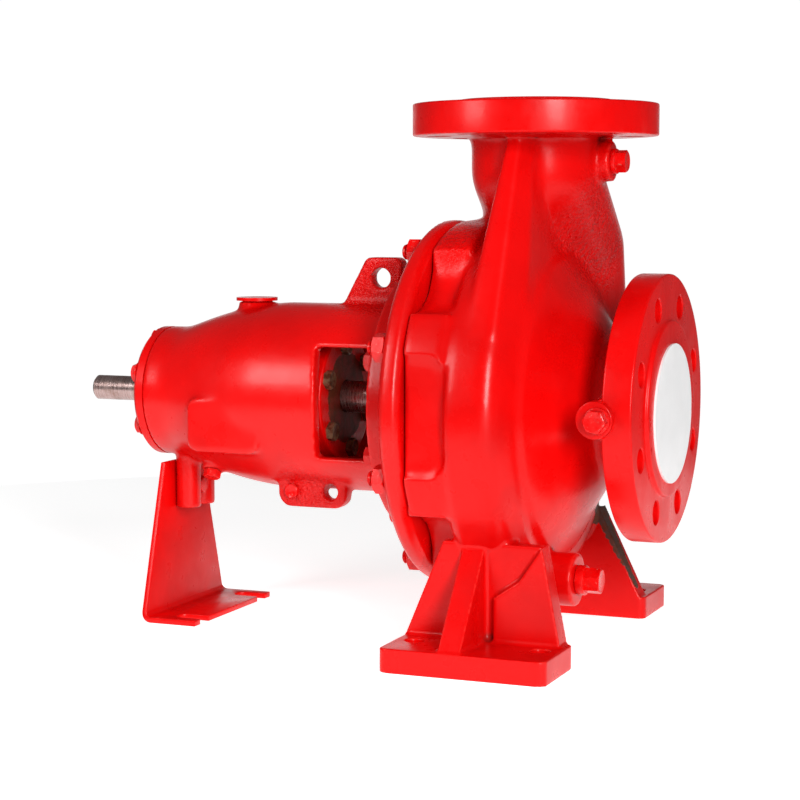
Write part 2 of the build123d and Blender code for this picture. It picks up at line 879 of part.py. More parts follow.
for y, z in ring_points(cover_bolts, pump_cover_pcd, cover_bolt_angle):
    bracket -= rod((lantern_floor_x - small_depth, y, z), toward_suction, small_bolt / 2, small_depth)
save("bearing_bracket", bracket)

# Bearing covers and their bolts
drive_cover = turned(
    [
        (housing_x, shaft_seal_diameter / 2 + seal_gap),
        (housing_x, housing_radius),
        (drive_cover_x + drive_cover_edge, housing_radius),
        (drive_cover_x, housing_radius - drive_cover_edge),
        (drive_cover_x, drive_nose_radius),
        (drive_nose_x, drive_nose_radius - drive_cover_edge),
        (drive_nose_x, shaft_seal_diameter / 2 + seal_gap),
    ]
)
drive_bolts = []
for y, z in ring_points(cover_bolts, drive_cover_pcd, cover_bolt_angle):
    seat = (drive_cover_x, y, z)
    drive_cover -= rod(seat, toward_suction, small_bolt / 2 + hole_clearance, drive_cover_thick)
    shank = drive_cover_thick + small_depth
    drive_bolts.append(bolt(seat, toward_drive, small_flats, small_head, small_bolt / 2, shank))
save("drive_bearing_cover", drive_cover)
save("drive_cover_bolts", Compound(drive_bolts))

pump_cover = disc(lantern_floor_x, pump_cover_x, pump_cover_radius)
pump_cover = fillet(
    pump_cover.edges().filter_by(GeomType.CIRCLE).group_by(Axis.X)[-1], pump_cover_edge
)
pump_cover -= disc(lantern_floor_x, pump_cover_x, shaft_lantern / 2 + seal_gap)
pump_bolts = []
for y, z in ring_points(cover_bolts, pump_cover_pcd, cover_bolt_angle):
    pump_cover -= rod(
        (lantern_floor_x, y, z), toward_suction, small_bolt / 2 + hole_clearance, pump_cover_thick
    )
    seat = (pump_cover_x, y, z)
    shank = pump_cover_thick + small_depth
    pump_bolts.append(bolt(seat, toward_suction, small_flats, small_head, small_bolt / 2, shank))
save("pump_bearing_cover", pump_cover)
save("pump_cover_bolts", Compound(pump_bolts))

lantern_screws = []
for y, z in ring_points(lantern_bolts, lantern_pcd, lantern_bolt_angle):
    seat = (lantern_flange_x, y, z)
    shank = lantern_flange_thick + small_depth
    lantern_screws.append(bolt(seat, toward_drive, small_flats, small_head, small_bolt / 2, shank))
save("lantern_bolts", Compound(lantern_screws))

# Seal gland with its studs and nuts
gland = disc(gland_back_x, seal_box_back_x, gland_radius)
gland -= disc(gland_back_x, seal_box_back_x, sleeve_radius + seal_gap)
gland_studs = []
gland_nuts = []
for y, z in ring_points(gland_bolts, gland_pcd, 0.0):
    gland -= rod((gland_back_x, y, z), toward_suction, small_bolt / 2 + hole_clearance, gland_thick)
    back_x = gland_back_x - small_head - gland_stud_proud
    gland_studs.append(
        rod((back_x, y, z), toward_suction, small_bolt / 2, seal_box_back_x + small_depth - back_x)
    )
    nut = hexagon((gland_back_x - small_head, y, z), toward_suction, small_flats, small_head)
    nut -= rod((gland_back_x - small_head, y, z), toward_suction, small_bolt / 2, small_head)
    gland_nuts.append(nut)
save("seal_gland", gland)
save("gland_studs", Compound(gland_studs))
save("gland_nuts", Compound(gland_nuts))

# Oil filler cap, oil drain plug and the bolt of the lower lug
cap = rod((filler_x, 0, filler_top_z - filler_depth), up, filler_thread / 2, filler_depth)
cap += hexagon((filler_x, 0, filler_top_z), up, filler_neck_flats, filler_neck_height)
cap += rod(
    (filler_x, 0, filler_top_z + filler_neck_height), up, filler_cap_radius, filler_cap_height
)
save("oil_filler_cap", cap)
oil_plug = rod(oil_seat - oil_out * oil_drain_depth, oil_out, oil_drain_bore / 2, oil_drain_depth)
oil_plug += hexagon(oil_seat, oil_out, oil_drain_flats, oil_drain_head)
save("oil_drain_plug", oil_plug)
save(
    "lower_lug_bolt",
    bolt(
        (low_lug_bolt_x, low_lug_y, low_lug_line_z),
        toward_near,
        lug_flats,
        lug_head,
        lug_bolt / 2,
        low_lug_thick,
    ),
)

# Rear support foot and its bolt
support = extrude(
    Plane(origin=(plate_back_x, 0, 0), x_dir=(0, 1, 0), z_dir=toward_suction)
    * make_face(
        Polyline(
            (-plate_foot_half, 0),
            (plate_foot_half, 0),
            (plate_top_half, plate_top_z),
            (-plate_top_half, plate_top_z),
            close=True,
        )
    ),
    plate_thick,
)
support += box(
    plate_back_x,
    plate_front_x + plate_foot_reach,
    -plate_foot_half,
    plate_foot_half,
    0,
    plate_thick,
)
for side in (-1, 1):
    front_x = plate_front_x + plate_foot_reach
    support -= box(
        front_x - slot_depth,
        front_x,
        side * slot_y - slot_width / 2,
        side * slot_y + slot_width / 2,
        0,
        plate_thick,
    )
support -= rod(
    (plate_back_x, 0, support_bolt_z), toward_suction, support_bolt_size / 2 + hole_clearance, plate_thick
)
save("rear_support_foot", support)
washer_start = (plate_back_x - support_washer, 0, support_bolt_z)
support_bolt = bolt(
    washer_start,
    toward_drive,
    nut_flats,
    support_bolt_head,
    support_bolt_size / 2,
    support_washer + plate_thick + support_bolt_depth,
)
support_bolt += rod(washer_start, toward_suction, support_washer_radius, support_washer)
save("support_bolt", support_bolt)

# Blank disc on the suction face
save(
    "suction_cover_disc",
    rod(
        (suction_reach, 0, shaft_height - disc_drop),
        toward_suction,
        suction_bore / 2 + disc_overlap,
        disc_thick,
    ),
)

# Shaft
half_outlet = impeller_outlet / 2
shaft_tail_x = half_outlet + impeller_nut_length
shaft_collar_x = drive_nose_x - shaft_collar_proud
journal_back_x = housing_x + journal_inset
journal_front_x = lantern_floor_x - journal_inset
shaft = turned(
    [
        (shaft_end_x, 0),
        (shaft_end_x, shaft_end_diameter / 2 - shaft_chamfer),
        (shaft_end_x + shaft_chamfer, shaft_end_diameter / 2),
        (shaft_collar_x, shaft_end_diameter / 2),
        (shaft_collar_x, shaft_seal_diameter / 2),
        (journal_back_x, shaft_seal_diameter / 2),
        (journal_back_x, shaft_journal / 2),
        (journal_front_x, shaft_journal / 2),
        (journal_front_x, shaft_lantern / 2),
        (hub_back_x, shaft_lantern / 2),
        (hub_back_x, shaft_tail / 2),
        (shaft_tail_x, shaft_tail / 2),
        (shaft_tail_x, 0),
    ]
)
save("pump_shaft", shaft)

sleeve = disc(gland_back_x - sleeve_proud, hub_back_x, sleeve_radius)
sleeve -= disc(gland_back_x - sleeve_proud, hub_back_x, shaft_lantern / 2)
save("shaft_sleeve", sleeve)

# Impeller: back plate with hub, vanes and a front shroud with its eye ring
back_plate = turned(
    [
        (hub_back_x, shaft_tail / 2),
        (hub_back_x, impeller_hub),
        (-half_outlet - shroud_thick, impeller_hub),
        (-half_outlet - shroud_thick, impeller_radius),
        (-half_outlet, impeller_radius),
        (-half_outlet, impeller_hub),
        (half_outlet, shaft_tail / 2 + hub_nose),
        (half_outlet, shaft_tail / 2),
    ]
)
front_shroud = turned(
    [
        (half_outlet, impeller_radius),
        (half_outlet + shroud_thick, impeller_radius),
        (half_outlet + shroud_thick, impeller_eye + shroud_thick),
        (impeller_eye_x, impeller_eye + shroud_thick),
        (impeller_eye_x, impeller_eye),
        (half_outlet, impeller_eye),
    ]
)
impeller = back_plate + front_shroud
vane_plane = Plane(
    origin=(-half_outlet - vane_bite, 0, shaft_height), x_dir=(0, 1, 0), z_dir=toward_suction
)
vane_line = ThreePointArc(
    (vane_root_radius, 0), (vane_middle_radius, vane_bow), (impeller_radius - vane_bite, 0)
)
vane_outline = make_face(offset(vane_line, vane_thick / 2, side=Side.BOTH))
for k in range(vane_count):
    turned_outline = vane_plane * Rot(0, 0, 360.0 * k / vane_count) * vane_outline
    impeller += extrude(turned_outline, impeller_outlet + 2 * vane_bite)
save("impeller", impeller)

impeller_nut = hexagon(
    (half_outlet, 0, shaft_height),
    toward_suction,
    impeller_nut_flats,
    impeller_nut_length + impeller_nut_cap,
)
impeller_nut -= disc(half_outlet, shaft_tail_x, shaft_tail / 2)
save("impeller_nut", impeller_nut)
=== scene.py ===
import json
import math
import bmesh
import bpy
import numpy as np
from mathutils import Matrix, Vector


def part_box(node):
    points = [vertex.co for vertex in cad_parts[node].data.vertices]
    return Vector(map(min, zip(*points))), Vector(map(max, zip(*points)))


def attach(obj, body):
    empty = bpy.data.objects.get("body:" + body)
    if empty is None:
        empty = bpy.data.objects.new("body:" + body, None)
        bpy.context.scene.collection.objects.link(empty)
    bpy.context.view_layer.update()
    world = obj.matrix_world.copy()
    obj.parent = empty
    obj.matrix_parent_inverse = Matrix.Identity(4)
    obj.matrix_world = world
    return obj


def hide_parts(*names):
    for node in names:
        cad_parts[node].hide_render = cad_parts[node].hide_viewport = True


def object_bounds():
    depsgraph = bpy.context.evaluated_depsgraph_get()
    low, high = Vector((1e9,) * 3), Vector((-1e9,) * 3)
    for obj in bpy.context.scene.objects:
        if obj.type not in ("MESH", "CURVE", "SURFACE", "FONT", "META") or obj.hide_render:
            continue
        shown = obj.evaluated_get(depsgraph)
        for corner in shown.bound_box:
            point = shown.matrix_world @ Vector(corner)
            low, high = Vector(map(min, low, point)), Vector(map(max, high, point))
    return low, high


# Looks of a red end-suction pump, in metres. The shaft runs along X and the suction flange faces +X.
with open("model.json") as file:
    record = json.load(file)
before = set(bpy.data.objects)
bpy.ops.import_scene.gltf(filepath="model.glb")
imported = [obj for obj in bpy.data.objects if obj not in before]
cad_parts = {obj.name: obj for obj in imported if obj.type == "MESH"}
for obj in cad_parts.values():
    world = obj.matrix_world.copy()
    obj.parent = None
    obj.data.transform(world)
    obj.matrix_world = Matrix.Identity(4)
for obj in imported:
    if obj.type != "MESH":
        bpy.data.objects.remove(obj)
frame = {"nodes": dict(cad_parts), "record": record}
cad_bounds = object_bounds()
mounts = {mount["name"]: mount for mount in frame["record"]["mounts"]}

X = Vector((1, 0, 0))
Y = Vector((0, 1, 0))
Z = Vector((0, 0, 1))
shaft_height = mounts["suction_flange"]["pos_m"][2]
suction_plane = mounts["suction_flange"]["pos_m"][0]
discharge_plane = mounts["discharge_flange"]["pos_m"][2]
suction_pcd = mounts["suction_flange"]["dims"]["pcd_mm"] / 1000
discharge_pcd = mounts["discharge_flange"]["dims"]["pcd_mm"] / 1000
flange_hole = 2 * mounts["suction_flange"]["dims"]["hole_r_mm"] / 1000
flange_holes = mounts["suction_flange"]["dims"]["count"]

# Flanges, beyond what the mounts state
suction_flange_radius = 0.100
suction_flange_thick = 0.022
suction_face_radius = 0.066
suction_bore_radius = 0.0398
discharge_flange_radius = 0.0925
discharge_flange_thick = 0.024
discharge_face_radius = 0.059
discharge_bore_radius = 0.0324
raised_face = 0.003
flange_sink = 0.002
edge_radius = 0.0016

# Casting meshes
casing_voxel = 0.0017
bracket_voxel = 0.0016
cover_voxel = 0.0017
casing_triangles = 195000
bracket_triangles = 190000
cover_triangles = 90000

# Fasteners
head_chamfer = math.radians(30)
thread_pitch = 0.00175
small_bolt_flats = 0.013
small_bolt_head = 0.0055
small_bolt_radius = 0.004
small_washer_radius = 0.0087
small_washer = 0.0014
rim_nut_flats = 0.019
rim_nut_height = 0.010
rim_stud_radius = 0.006
gland_stud_radius = 0.004
support_washer_radius = 0.012
support_washer = 0.0025
support_head = 0.008
lug_bolt_flats = 0.010
lug_bolt_head = 0.0045
gauge_plug = (0.015, 0.008, 0.0095, 0.003)
drain_plug = (0.017, 0.012, 0.011, 0.006)
plug_thread_radius = 0.006
oil_plug_flats = 0.012
oil_plug_head = 0.006
oil_plug_out = Vector((0, math.cos(math.radians(-117)), math.sin(math.radians(-117))))

# Rear support foot, a bent sheet
sheet = 0.0045
sheet_bend = 0.004
sheet_slot_y = 0.051
sheet_slot_width = 0.014
sheet_slot_depth = 0.024


def link(name, mesh):
    """New object that shows this mesh."""
    piece = bpy.data.objects.new(name, mesh)
    bpy.context.scene.collection.objects.link(piece)
    return piece


def from_faces(name, points, faces):
    """New object from points and faces."""
    mesh = bpy.data.meshes.new(name)
    mesh.from_pydata([tuple(p) for p in points], [], faces)
    mesh.update()
    return link(name, mesh)


def applied(piece):
    """Turns the modifiers of a piece into its mesh."""
    graph = bpy.context.evaluated_depsgraph_get()
    mesh = bpy.data.meshes.new_from_object(piece.evaluated_get(graph))
    piece.modifiers.clear()
    old = piece.data
    piece.data = mesh
    bpy.data.meshes.remove(old)
    return piece


def join(name, parts):
    """One object from several."""
    mesh = bpy.data.meshes.new(name)
    merged = bmesh.new()
    for part in parts:
        part.data.transform(part.matrix_world)
        merged.from_mesh(part.data)
    merged.to_mesh(mesh)
    merged.free()
    for part in parts:
        old = part.data
        bpy.data.objects.remove(part)
        bpy.data.meshes.remove(old)
    return link(name, mesh)


def dress(piece, material, body, replaced=(), crease=32.0):
    """Gives a piece its material and shading, and puts it on its body in place of CAD nodes."""
    piece.data.materials.clear()
    piece.data.materials.append(material)
    piece.data.polygons.foreach_set("use_smooth", [True] * len(piece.data.polygons))
    piece.data.set_sharp_from_angle(angle=math.radians(crease))
    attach(piece, body)
    if replaced:
        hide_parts(*replaced)
    return piece


def paint_node(node, material, crease=32.0):
    """Gives a CAD node that keeps its shape a better material."""
    piece = frame["nodes"][node]
    piece.data.materials.clear()
    piece.data.materials.append(material)
    return piece


def across(axis):
    """Two directions square to an axis."""
    axis = Vector(axis).normalized()
    first = axis.cross(Z) if abs(axis.z) < 0.9 else axis.cross(X)
    first.normalize()
    return first, axis.cross(first)


def rounded(corners, radius, steps=4):
    """Closed outline of (along, out) points with its corners rounded by short arcs."""
    result = []
    count = len(corners)
    for k in range(count):
        before, here, after = (Vector(corners[(k + d) % count]) for d in (-1, 0, 1))
        to_before = before - here
        to_after = after - here
        cut = min(radius, 0.45 * to_before.length, 0.45 * to_after.length)
        if cut < 1e-6 or here.y < 1e-6:
            result.append(tuple(here))
            continue
        start = here + to_before.normalized() * cut
        end = here + to_after.normalized() * cut
        for step in range(steps + 1):
            t = step / steps
            result.append(tuple(start * (1 - t) ** 2 + here * 2 * t * (1 - t) + end * t * t))
    return result


def lathe(name, outline, origin, axis, segments=96):
    """Body turned from a closed outline of (along, out) points about an axis."""
    origin = Vector(origin)
    axis = Vector(axis).normalized()
    first, second = across(axis)
    work = bmesh.new()
    rings = []
    for along, out in outline:
        if out < 1e-6:
            rings.append([work.verts.new(origin + axis * along)])
            continue
        ring = []
        for k in range(segments):
            turn = 2 * math.pi * k / segments
            ring.append(
                work.verts.new(
                    origin + axis * along + (first * math.cos(turn) + second * math.sin(turn)) * out
                )
            )
        rings.append(ring)
    for a, b in zip(rings, rings[1:] + rings[:1]):
        if len(a) == 1 and len(b) == 1:
            continue
        for k in range(segments):
            n = (k + 1) % segments
            if len(a) == 1:
                work.faces.new((a[0], b[n], b[k]))
            elif len(b) == 1:
                work.faces.new((a[k], a[n], b[0]))
            else:
                work.faces.new((a[k], a[n], b[n], b[k]))
    bmesh.ops.recalc_face_normals(work, faces=work.faces[:])
    mesh = bpy.data.meshes.new(name)
    work.to_mesh(mesh)
    work.free()
    return link(name, mesh)


def cut_by(piece, cutters):
    """Takes the cutters out of a piece."""
    for cutter in cutters:
        modifier = piece.modifiers.new("cut", "BOOLEAN")
        modifier.operation = "DIFFERENCE"
        modifier.solver = "EXACT"
        modifier.object = cutter
    applied(piece)
    for cutter in cutters:
        mesh = cutter.data
        bpy.data.objects.remove(cutter)
        bpy.data.meshes.remove(mesh)
    return piece


def tops(node, axis):
    """Middle of the outermost end, and length along the axis, of each separate solid of a CAD node."""
    axis = Vector(axis)
    work = bmesh.new()
    work.from_mesh(frame["nodes"][node].data)
    bmesh.ops.remove_doubles(work, verts=work.verts[:], dist=1e-6)
    work.verts.ensure_lookup_table()
    seen = set()
    found = []
    for start in work.verts:
        if start.index in seen:
            continue
        seen.add(start.index)
        queue = [start]
        points = []
        while queue:
            vert = queue.pop()
            points.append(vert.co.copy())
            for edge in vert.link_edges:
                other = edge.other_vert(vert)
                if other.index not in seen:
                    seen.add(other.index)
                    queue.append(other)
        reach = [point.dot(axis) for point in points]
        end = [point for point, far in zip(points, reach) if far > max(reach) - 1e-5]
        low = Vector([min(point[k] for point in end) for k in range(3)])
        high = Vector([max(point[k] for point in end) for k in range(3)])
        found.append(((low + high) / 2, max(reach) - min(reach)))
    work.free()
    return found


def ring_mesh(name, rings, open_ends=False):
    """Skin over rings of points of equal count, closed at both ends."""
    work = bmesh.new()
    rows = [[work.verts.new(point) for point in ring] for ring in rings]
    count = len(rows[0])
    for a, b in zip(rows, rows[1:]):
        for k in range(count):
            n = (k + 1) % count
            work.faces.new((a[k], a[n], b[n], b[k]))
    if not open_ends:
        work.faces.new(rows[0])
        work.faces.new(rows[-1])
    bmesh.ops.recalc_face_normals(work, faces=work.faces[:])
    mesh = bpy.data.meshes.new(name)
    work.to_mesh(mesh)
    work.free()
    return link(name, mesh)


def hexagon(base, axis, flats, height, turn, chamfer_base=False, samples=48):
    """Hexagon head or nut whose corners are turned off at 30 degrees."""
    base = Vector(base)
    axis = Vector(axis).normalized()
    first, second = across(axis)
    face = flats / 2
    round_off = 0.94 * face

    def ring(level, inner):
        points = []
        for k in range(samples):
            angle = 2 * math.pi * k / samples
            side = (angle + math.pi / 6) % (math.pi / 3) - math.pi / 6
            out = face / math.cos(side)
            drop = (out - round_off) * math.tan(head_chamfer)
            if inner:
                out, drop = round_off, 0.0
            along = drop if level == 0 else height - drop
            if level == 0 and not chamfer_base:
                along = 0.0
            aim = angle + turn
            points.append(base + axis * along + (first * math.cos(aim) + second * math.sin(aim)) * out)
        return points

    rings = [ring(0, False), ring(1, False), ring(1, True)]
    if chamfer_base:
        rings.insert(0, ring(0, True))
    inset = [base + axis * (height - 0.0003) + (point - base - axis * height) * 0.86 for point in rings[-1]]
    rings.append(inset)
    return ring_mesh("hexagon", rings)


def threaded(base, axis, radius, length, thread_length, pitch=thread_pitch, samples=36):
    """Round rod with a helical thread and a bevelled tip at its outer end."""
    base = Vector(base)
    axis = Vector(axis).normalized()
    first, second = across(axis)
    depth = 0.54 * pitch
    steps = max(8, int(thread_length / pitch * 7))
    levels = [0.0] + [length - thread_length + thread_length * k / steps for k in range(steps + 1)]
    rings = []
    for level in levels:
        ring = []
        for k in range(samples):
            angle = 2 * math.pi * k / samples
            wave = (level / pitch - k / samples) % 1.0
            groove = depth * (1.0 - abs(2.0 * wave - 1.0)) if level > length - thread_length else 0.0
            tip = radius - depth - 0.0004 + (length - level)
            out = min(radius - groove, tip)
            ring.append(base + axis * level + (first * math.cos(angle) + second * math.sin(angle)) * out)
        rings.append(ring)
    return ring_mesh("rod", rings)


def rod(base, axis, radius, length, edge=0.0005, segments=40):
    """Round rod or washer with rounded edges."""
    outline = rounded([(0.0, 0.0), (0.0, radius), (length, radius), (length, 0.0)], edge, 2)
    return lathe("rod", outline, base, axis, segments)


def turns(count, seed):
    """A steady, uneven turn for each fastener of a row."""
    return [math.radians((37 * k * k + 23 * seed * (k + 1)) % 60) for k in range(count)]


def bolts(name, node, axis, flats, head, radius, washer_radius=0.0, washer=0.0, seed=1):
    """Row of hexagon bolts, with washers where they have them, in place of the plain ones."""
    axis = Vector(axis)
    found = tops(node, axis)
    parts = []
    for (top, length), turn in zip(found, turns(len(found), seed)):
        base = top - axis * head
        parts.append(hexagon(base, axis, flats, head, turn))
        if washer:
            parts.append(rod(base, axis, washer_radius, washer))
        parts.append(rod(top - axis * length, axis, radius, length - head + 0.0005))
    return join(name, parts)


def plug(name, node, axis, sizes, seed=1):
    """Hexagon plug with its collar."""
    flats, head, collar_radius, collar = sizes
    axis = Vector(axis)
    parts = []
    for top, length in tops(node, axis):
        base = top - axis * head
        parts.append(hexagon(base, axis, flats, head, turns(1, seed)[0]))
        parts.append(rod(base - axis * collar, axis, collar_radius, collar + 0.0004, 0.0008))
        parts.append(rod(top - axis * length, axis, plug_thread_radius, length - head))
    return join(name, parts)


# Castings: the CAD shape with the fillets and soft edges of a mould


def mesh_arrays(mesh):
    """Points and edge ends of a mesh as arrays."""
    points = np.empty(len(mesh.vertices) * 3)
    mesh.vertices.foreach_get("co", points)
    edges = np.empty(len(mesh.edges) * 2, dtype=np.int64)
    mesh.edges.foreach_get("vertices", edges)
    return points.reshape(-1, 3), edges.reshape(-1, 2)


def vertex_normals(mesh):
    """Normals of a mesh's vertices as an array."""
    normals = np.empty(len(mesh.vertices) * 3)
    mesh.vertex_normals.foreach_get("vector", normals)
    return normals.reshape(-1, 3)


def neighbour_step(points, edges, degree):
    """From each point to the middle of its neighbours."""
    count = len(points)
    a, b = edges[:, 0], edges[:, 1]
    total = np.empty_like(points)
    for k in range(3):
        total[:, k] = np.bincount(a, weights=points[b, k], minlength=count)
        total[:, k] += np.bincount(b, weights=points[a, k], minlength=count)
    return total / degree[:, None] - points


def relax(mesh, rounds, ridge, gain):
    """Fills inner corners round after round by one share, and wears outer corners by another."""
    points, edges = mesh_arrays(mesh)
    degree = np.bincount(edges.ravel(), minlength=len(points)).astype(float)
    degree[degree == 0] = 1.0
    normals = vertex_normals(mesh)
    for turn in range(rounds):
        step = neighbour_step(points, edges, degree)
        height = np.einsum("ij,ij->i", step, normals)
        share = np.where(height > 0, gain(points), ridge(points))
        points += 0.5 * (share * height)[:, None] * normals
        if turn % 6 == 5:
            mesh.vertices.foreach_set("co", points.ravel())
            mesh.update()
            normals = vertex_normals(mesh)
    mesh.vertices.foreach_set("co", points.ravel())
    mesh.update()


def smooth(mesh, rounds, share=0.5):
    """Evens out the grid marks of a fresh mesh."""
    points, edges = mesh_arrays(mesh)
    degree = np.bincount(edges.ravel(), minlength=len(points)).astype(float)
    degree[degree == 0] = 1.0
    for turn in range(rounds):
        factor = share if turn % 2 == 0 else -share * 1.04
        points += factor * neighbour_step(points, edges, degree)
    mesh.vertices.foreach_set("co", points.ravel())
    mesh.update()


def voxel_copy(name, source, voxel):
    """Copy of a mesh as one even skin."""
    work = bmesh.new()
    work.from_mesh(source)
    bmesh.ops.remove_doubles(work, verts=work.verts[:], dist=1e-6)
    mesh = bpy.data.meshes.new(name)
    work.to_mesh(mesh)
    work.free()
    piece = link(name, mesh)
    modifier = piece.modifiers.new("skin", "REMESH")
    modifier.mode = "VOXEL"
    modifier.voxel_size = voxel
    return applied(piece)


def cut_off(piece, point, normal):
    """Cuts away what lies beyond a plane and closes the cut."""
    work = bmesh.new()
    work.from_mesh(piece.data)
    geometry = work.verts[:] + work.edges[:] + work.faces[:]
    cut = bmesh.ops.bisect_plane(work, geom=geometry, plane_co=point, plane_no=normal, clear_outer=True)
    rim = [e for e in cut["geom_cut"] if isinstance(e, bmesh.types.BMEdge)]
    bmesh.ops.triangle_fill(work, edges=rim, normal=normal, use_beauty=True)
    work.to_mesh(piece.data)
    work.free()
    piece.data.update()


def thin_to(piece, triangles):
    """Reduces a piece to a number of triangles."""
    count = sum(len(p.vertices) - 2 for p in piece.data.polygons)
    if count <= triangles:
        return piece
    modifier = piece.modifiers.new("thin", "DECIMATE")
    modifier.ratio = triangles / count
    return applied(piece)


def mark_corners(mesh):
    """Writes how far each point stands out of, or lies in, its surroundings, for the paint's worn corners and its
    painted shade in hollows.
    """
    points, edges = mesh_arrays(mesh)
    degree = np.bincount(edges.ravel(), minlength=len(points)).astype(float)
    degree[degree == 0] = 1.0
    normals = vertex_normals(mesh)
    length = np.linalg.norm(points[edges[:, 0]] - points[edges[:, 1]], axis=1)
    reach = np.bincount(edges[:, 0], weights=length, minlength=len(points))
    reach += np.bincount(edges[:, 1], weights=length, minlength=len(points))
    reach /= degree
    bend = -np.einsum("ij,ij->i", neighbour_step(points, edges, degree), normals) / np.maximum(reach, 1e-6)
    for turn in range(2):
        near = np.bincount(edges[:, 0], weights=bend[edges[:, 1]], minlength=len(points))
        near += np.bincount(edges[:, 1], weights=bend[edges[:, 0]], minlength=len(points))
        bend = 0.5 * bend + 0.5 * near / degree
    layer = mesh.attributes.new("corner", "FLOAT", "POINT")
    layer.data.foreach_set("value", np.clip(bend * 4.0, -1.0, 1.0).astype(np.float32))


# Materials


class Shader:
    """Small helper that wires nodes of one material."""

    def __init__(self, name):
        self.material = bpy.data.materials.new(name)
        self.material.use_nodes = True
        self.nodes = self.material.node_tree.nodes
        self.links = self.material.node_tree.links
        self.surface = self.nodes["Principled BSDF"]
        self.place = self.node("ShaderNodeTexCoord").outputs["Object"]

    def node(self, kind, **values):
        made = self.nodes.new(kind)
        for key, value in values.items():
            setattr(made, key, value)
        return made

    def put(self, socket, value):
        if isinstance(value, bpy.types.NodeSocket):
            self.links.new(value, socket)
        else:
            socket.default_value = value

    def noise(self, scale, detail=3.0, rough=0.5, place=None):
        made = self.node("ShaderNodeTexNoise")
        self.put(made.inputs["Vector"], place or self.place)
        self.put(made.inputs["Scale"], scale)
        self.put(made.inputs["Detail"], detail)
        self.put(made.inputs["Roughness"], rough)
        return made.outputs["Fac"]

    def cells(self, scale):
        made = self.node("ShaderNodeTexVoronoi")
        self.put(made.inputs["Vector"], self.place)
        self.put(made.inputs["Scale"], scale)
        return made.outputs["Distance"]

    def between(self, value, low, high, to_low=0.0, to_high=1.0):
        made = self.node("ShaderNodeMapRange", interpolation_type="SMOOTHSTEP")
        self.put(made.inputs["Value"], value)
        self.put(made.inputs["From Min"], low)
        self.put(made.inputs["From Max"], high)
        self.put(made.inputs["To Min"], to_low)
        self.put(made.inputs["To Max"], to_high)
        return made.outputs["Result"]

    def math(self, operation, a, b=0.0):
        made = self.node("ShaderNodeMath", operation=operation)
        self.put(made.inputs[0], a)
        self.put(made.inputs[1], b)
        return made.outputs[0]

    def mix(self, share, a, b):
        made = self.node("ShaderNodeMix", data_type="RGBA")
        self.put(made.inputs["Factor"], share)
        self.put(made.inputs["A"], a)
        self.put(made.inputs["B"], b)
        return made.outputs["Result"]

    def corner(self):
        return self.node("ShaderNodeAttribute", attribute_name="corner").outputs["Fac"]

    def near(self, point, inner, outer):
        """1 close to a point, falling to 0 further out."""
        offset = self.node("ShaderNodeVectorMath", operation="DISTANCE")
        self.put(offset.inputs[0], self.place)
        offset.inputs[1].default_value = point
        return self.between(offset.outputs["Value"], inner, outer, 1.0, 0.0)

    def nearest(self, places):
        """1 close to any of the places, each a point with its inner and outer reach."""
        close = None
        for point, inner, outer in places:
            one = self.near(point, inner, outer)
            close = one if close is None else self.math("MAXIMUM", close, one)
        return close

    def bump(self, height, distance, strength=1.0, under=None):
        made = self.node("ShaderNodeBump")
        self.put(made.inputs["Height"], height)
        made.inputs["Distance"].default_value = distance
        made.inputs["Strength"].default_value = strength
        if under is not None:
            self.links.new(under, made.inputs["Normal"])
        return made.outputs["Normal"]

    def finish(self, color, roughness, normal=None, **plain):
        self.put(self.surface.inputs["Base Color"], color)
        self.put(self.surface.inputs["Roughness"], roughness)
        if normal is not None:
            self.put(self.surface.inputs["Normal"], normal)
        for key, value in plain.items():
            self.surface.inputs[key.replace("_", " ")].default_value = value
        return self.material


red = (0.7, 0.0015, 0.0015, 1.0)
deep_red = (0.54, 0.001, 0.001, 1.0)
worn_red = (0.75, 0.035, 0.028, 1.0)
# Near-black colour of the painted shade in inner corners and valleys
crease_shade = (0.035, 0.012, 0.01, 1.0)
bare_iron = (0.085, 0.06, 0.05, 1.0)
rust = (0.13, 0.035, 0.012, 1.0)


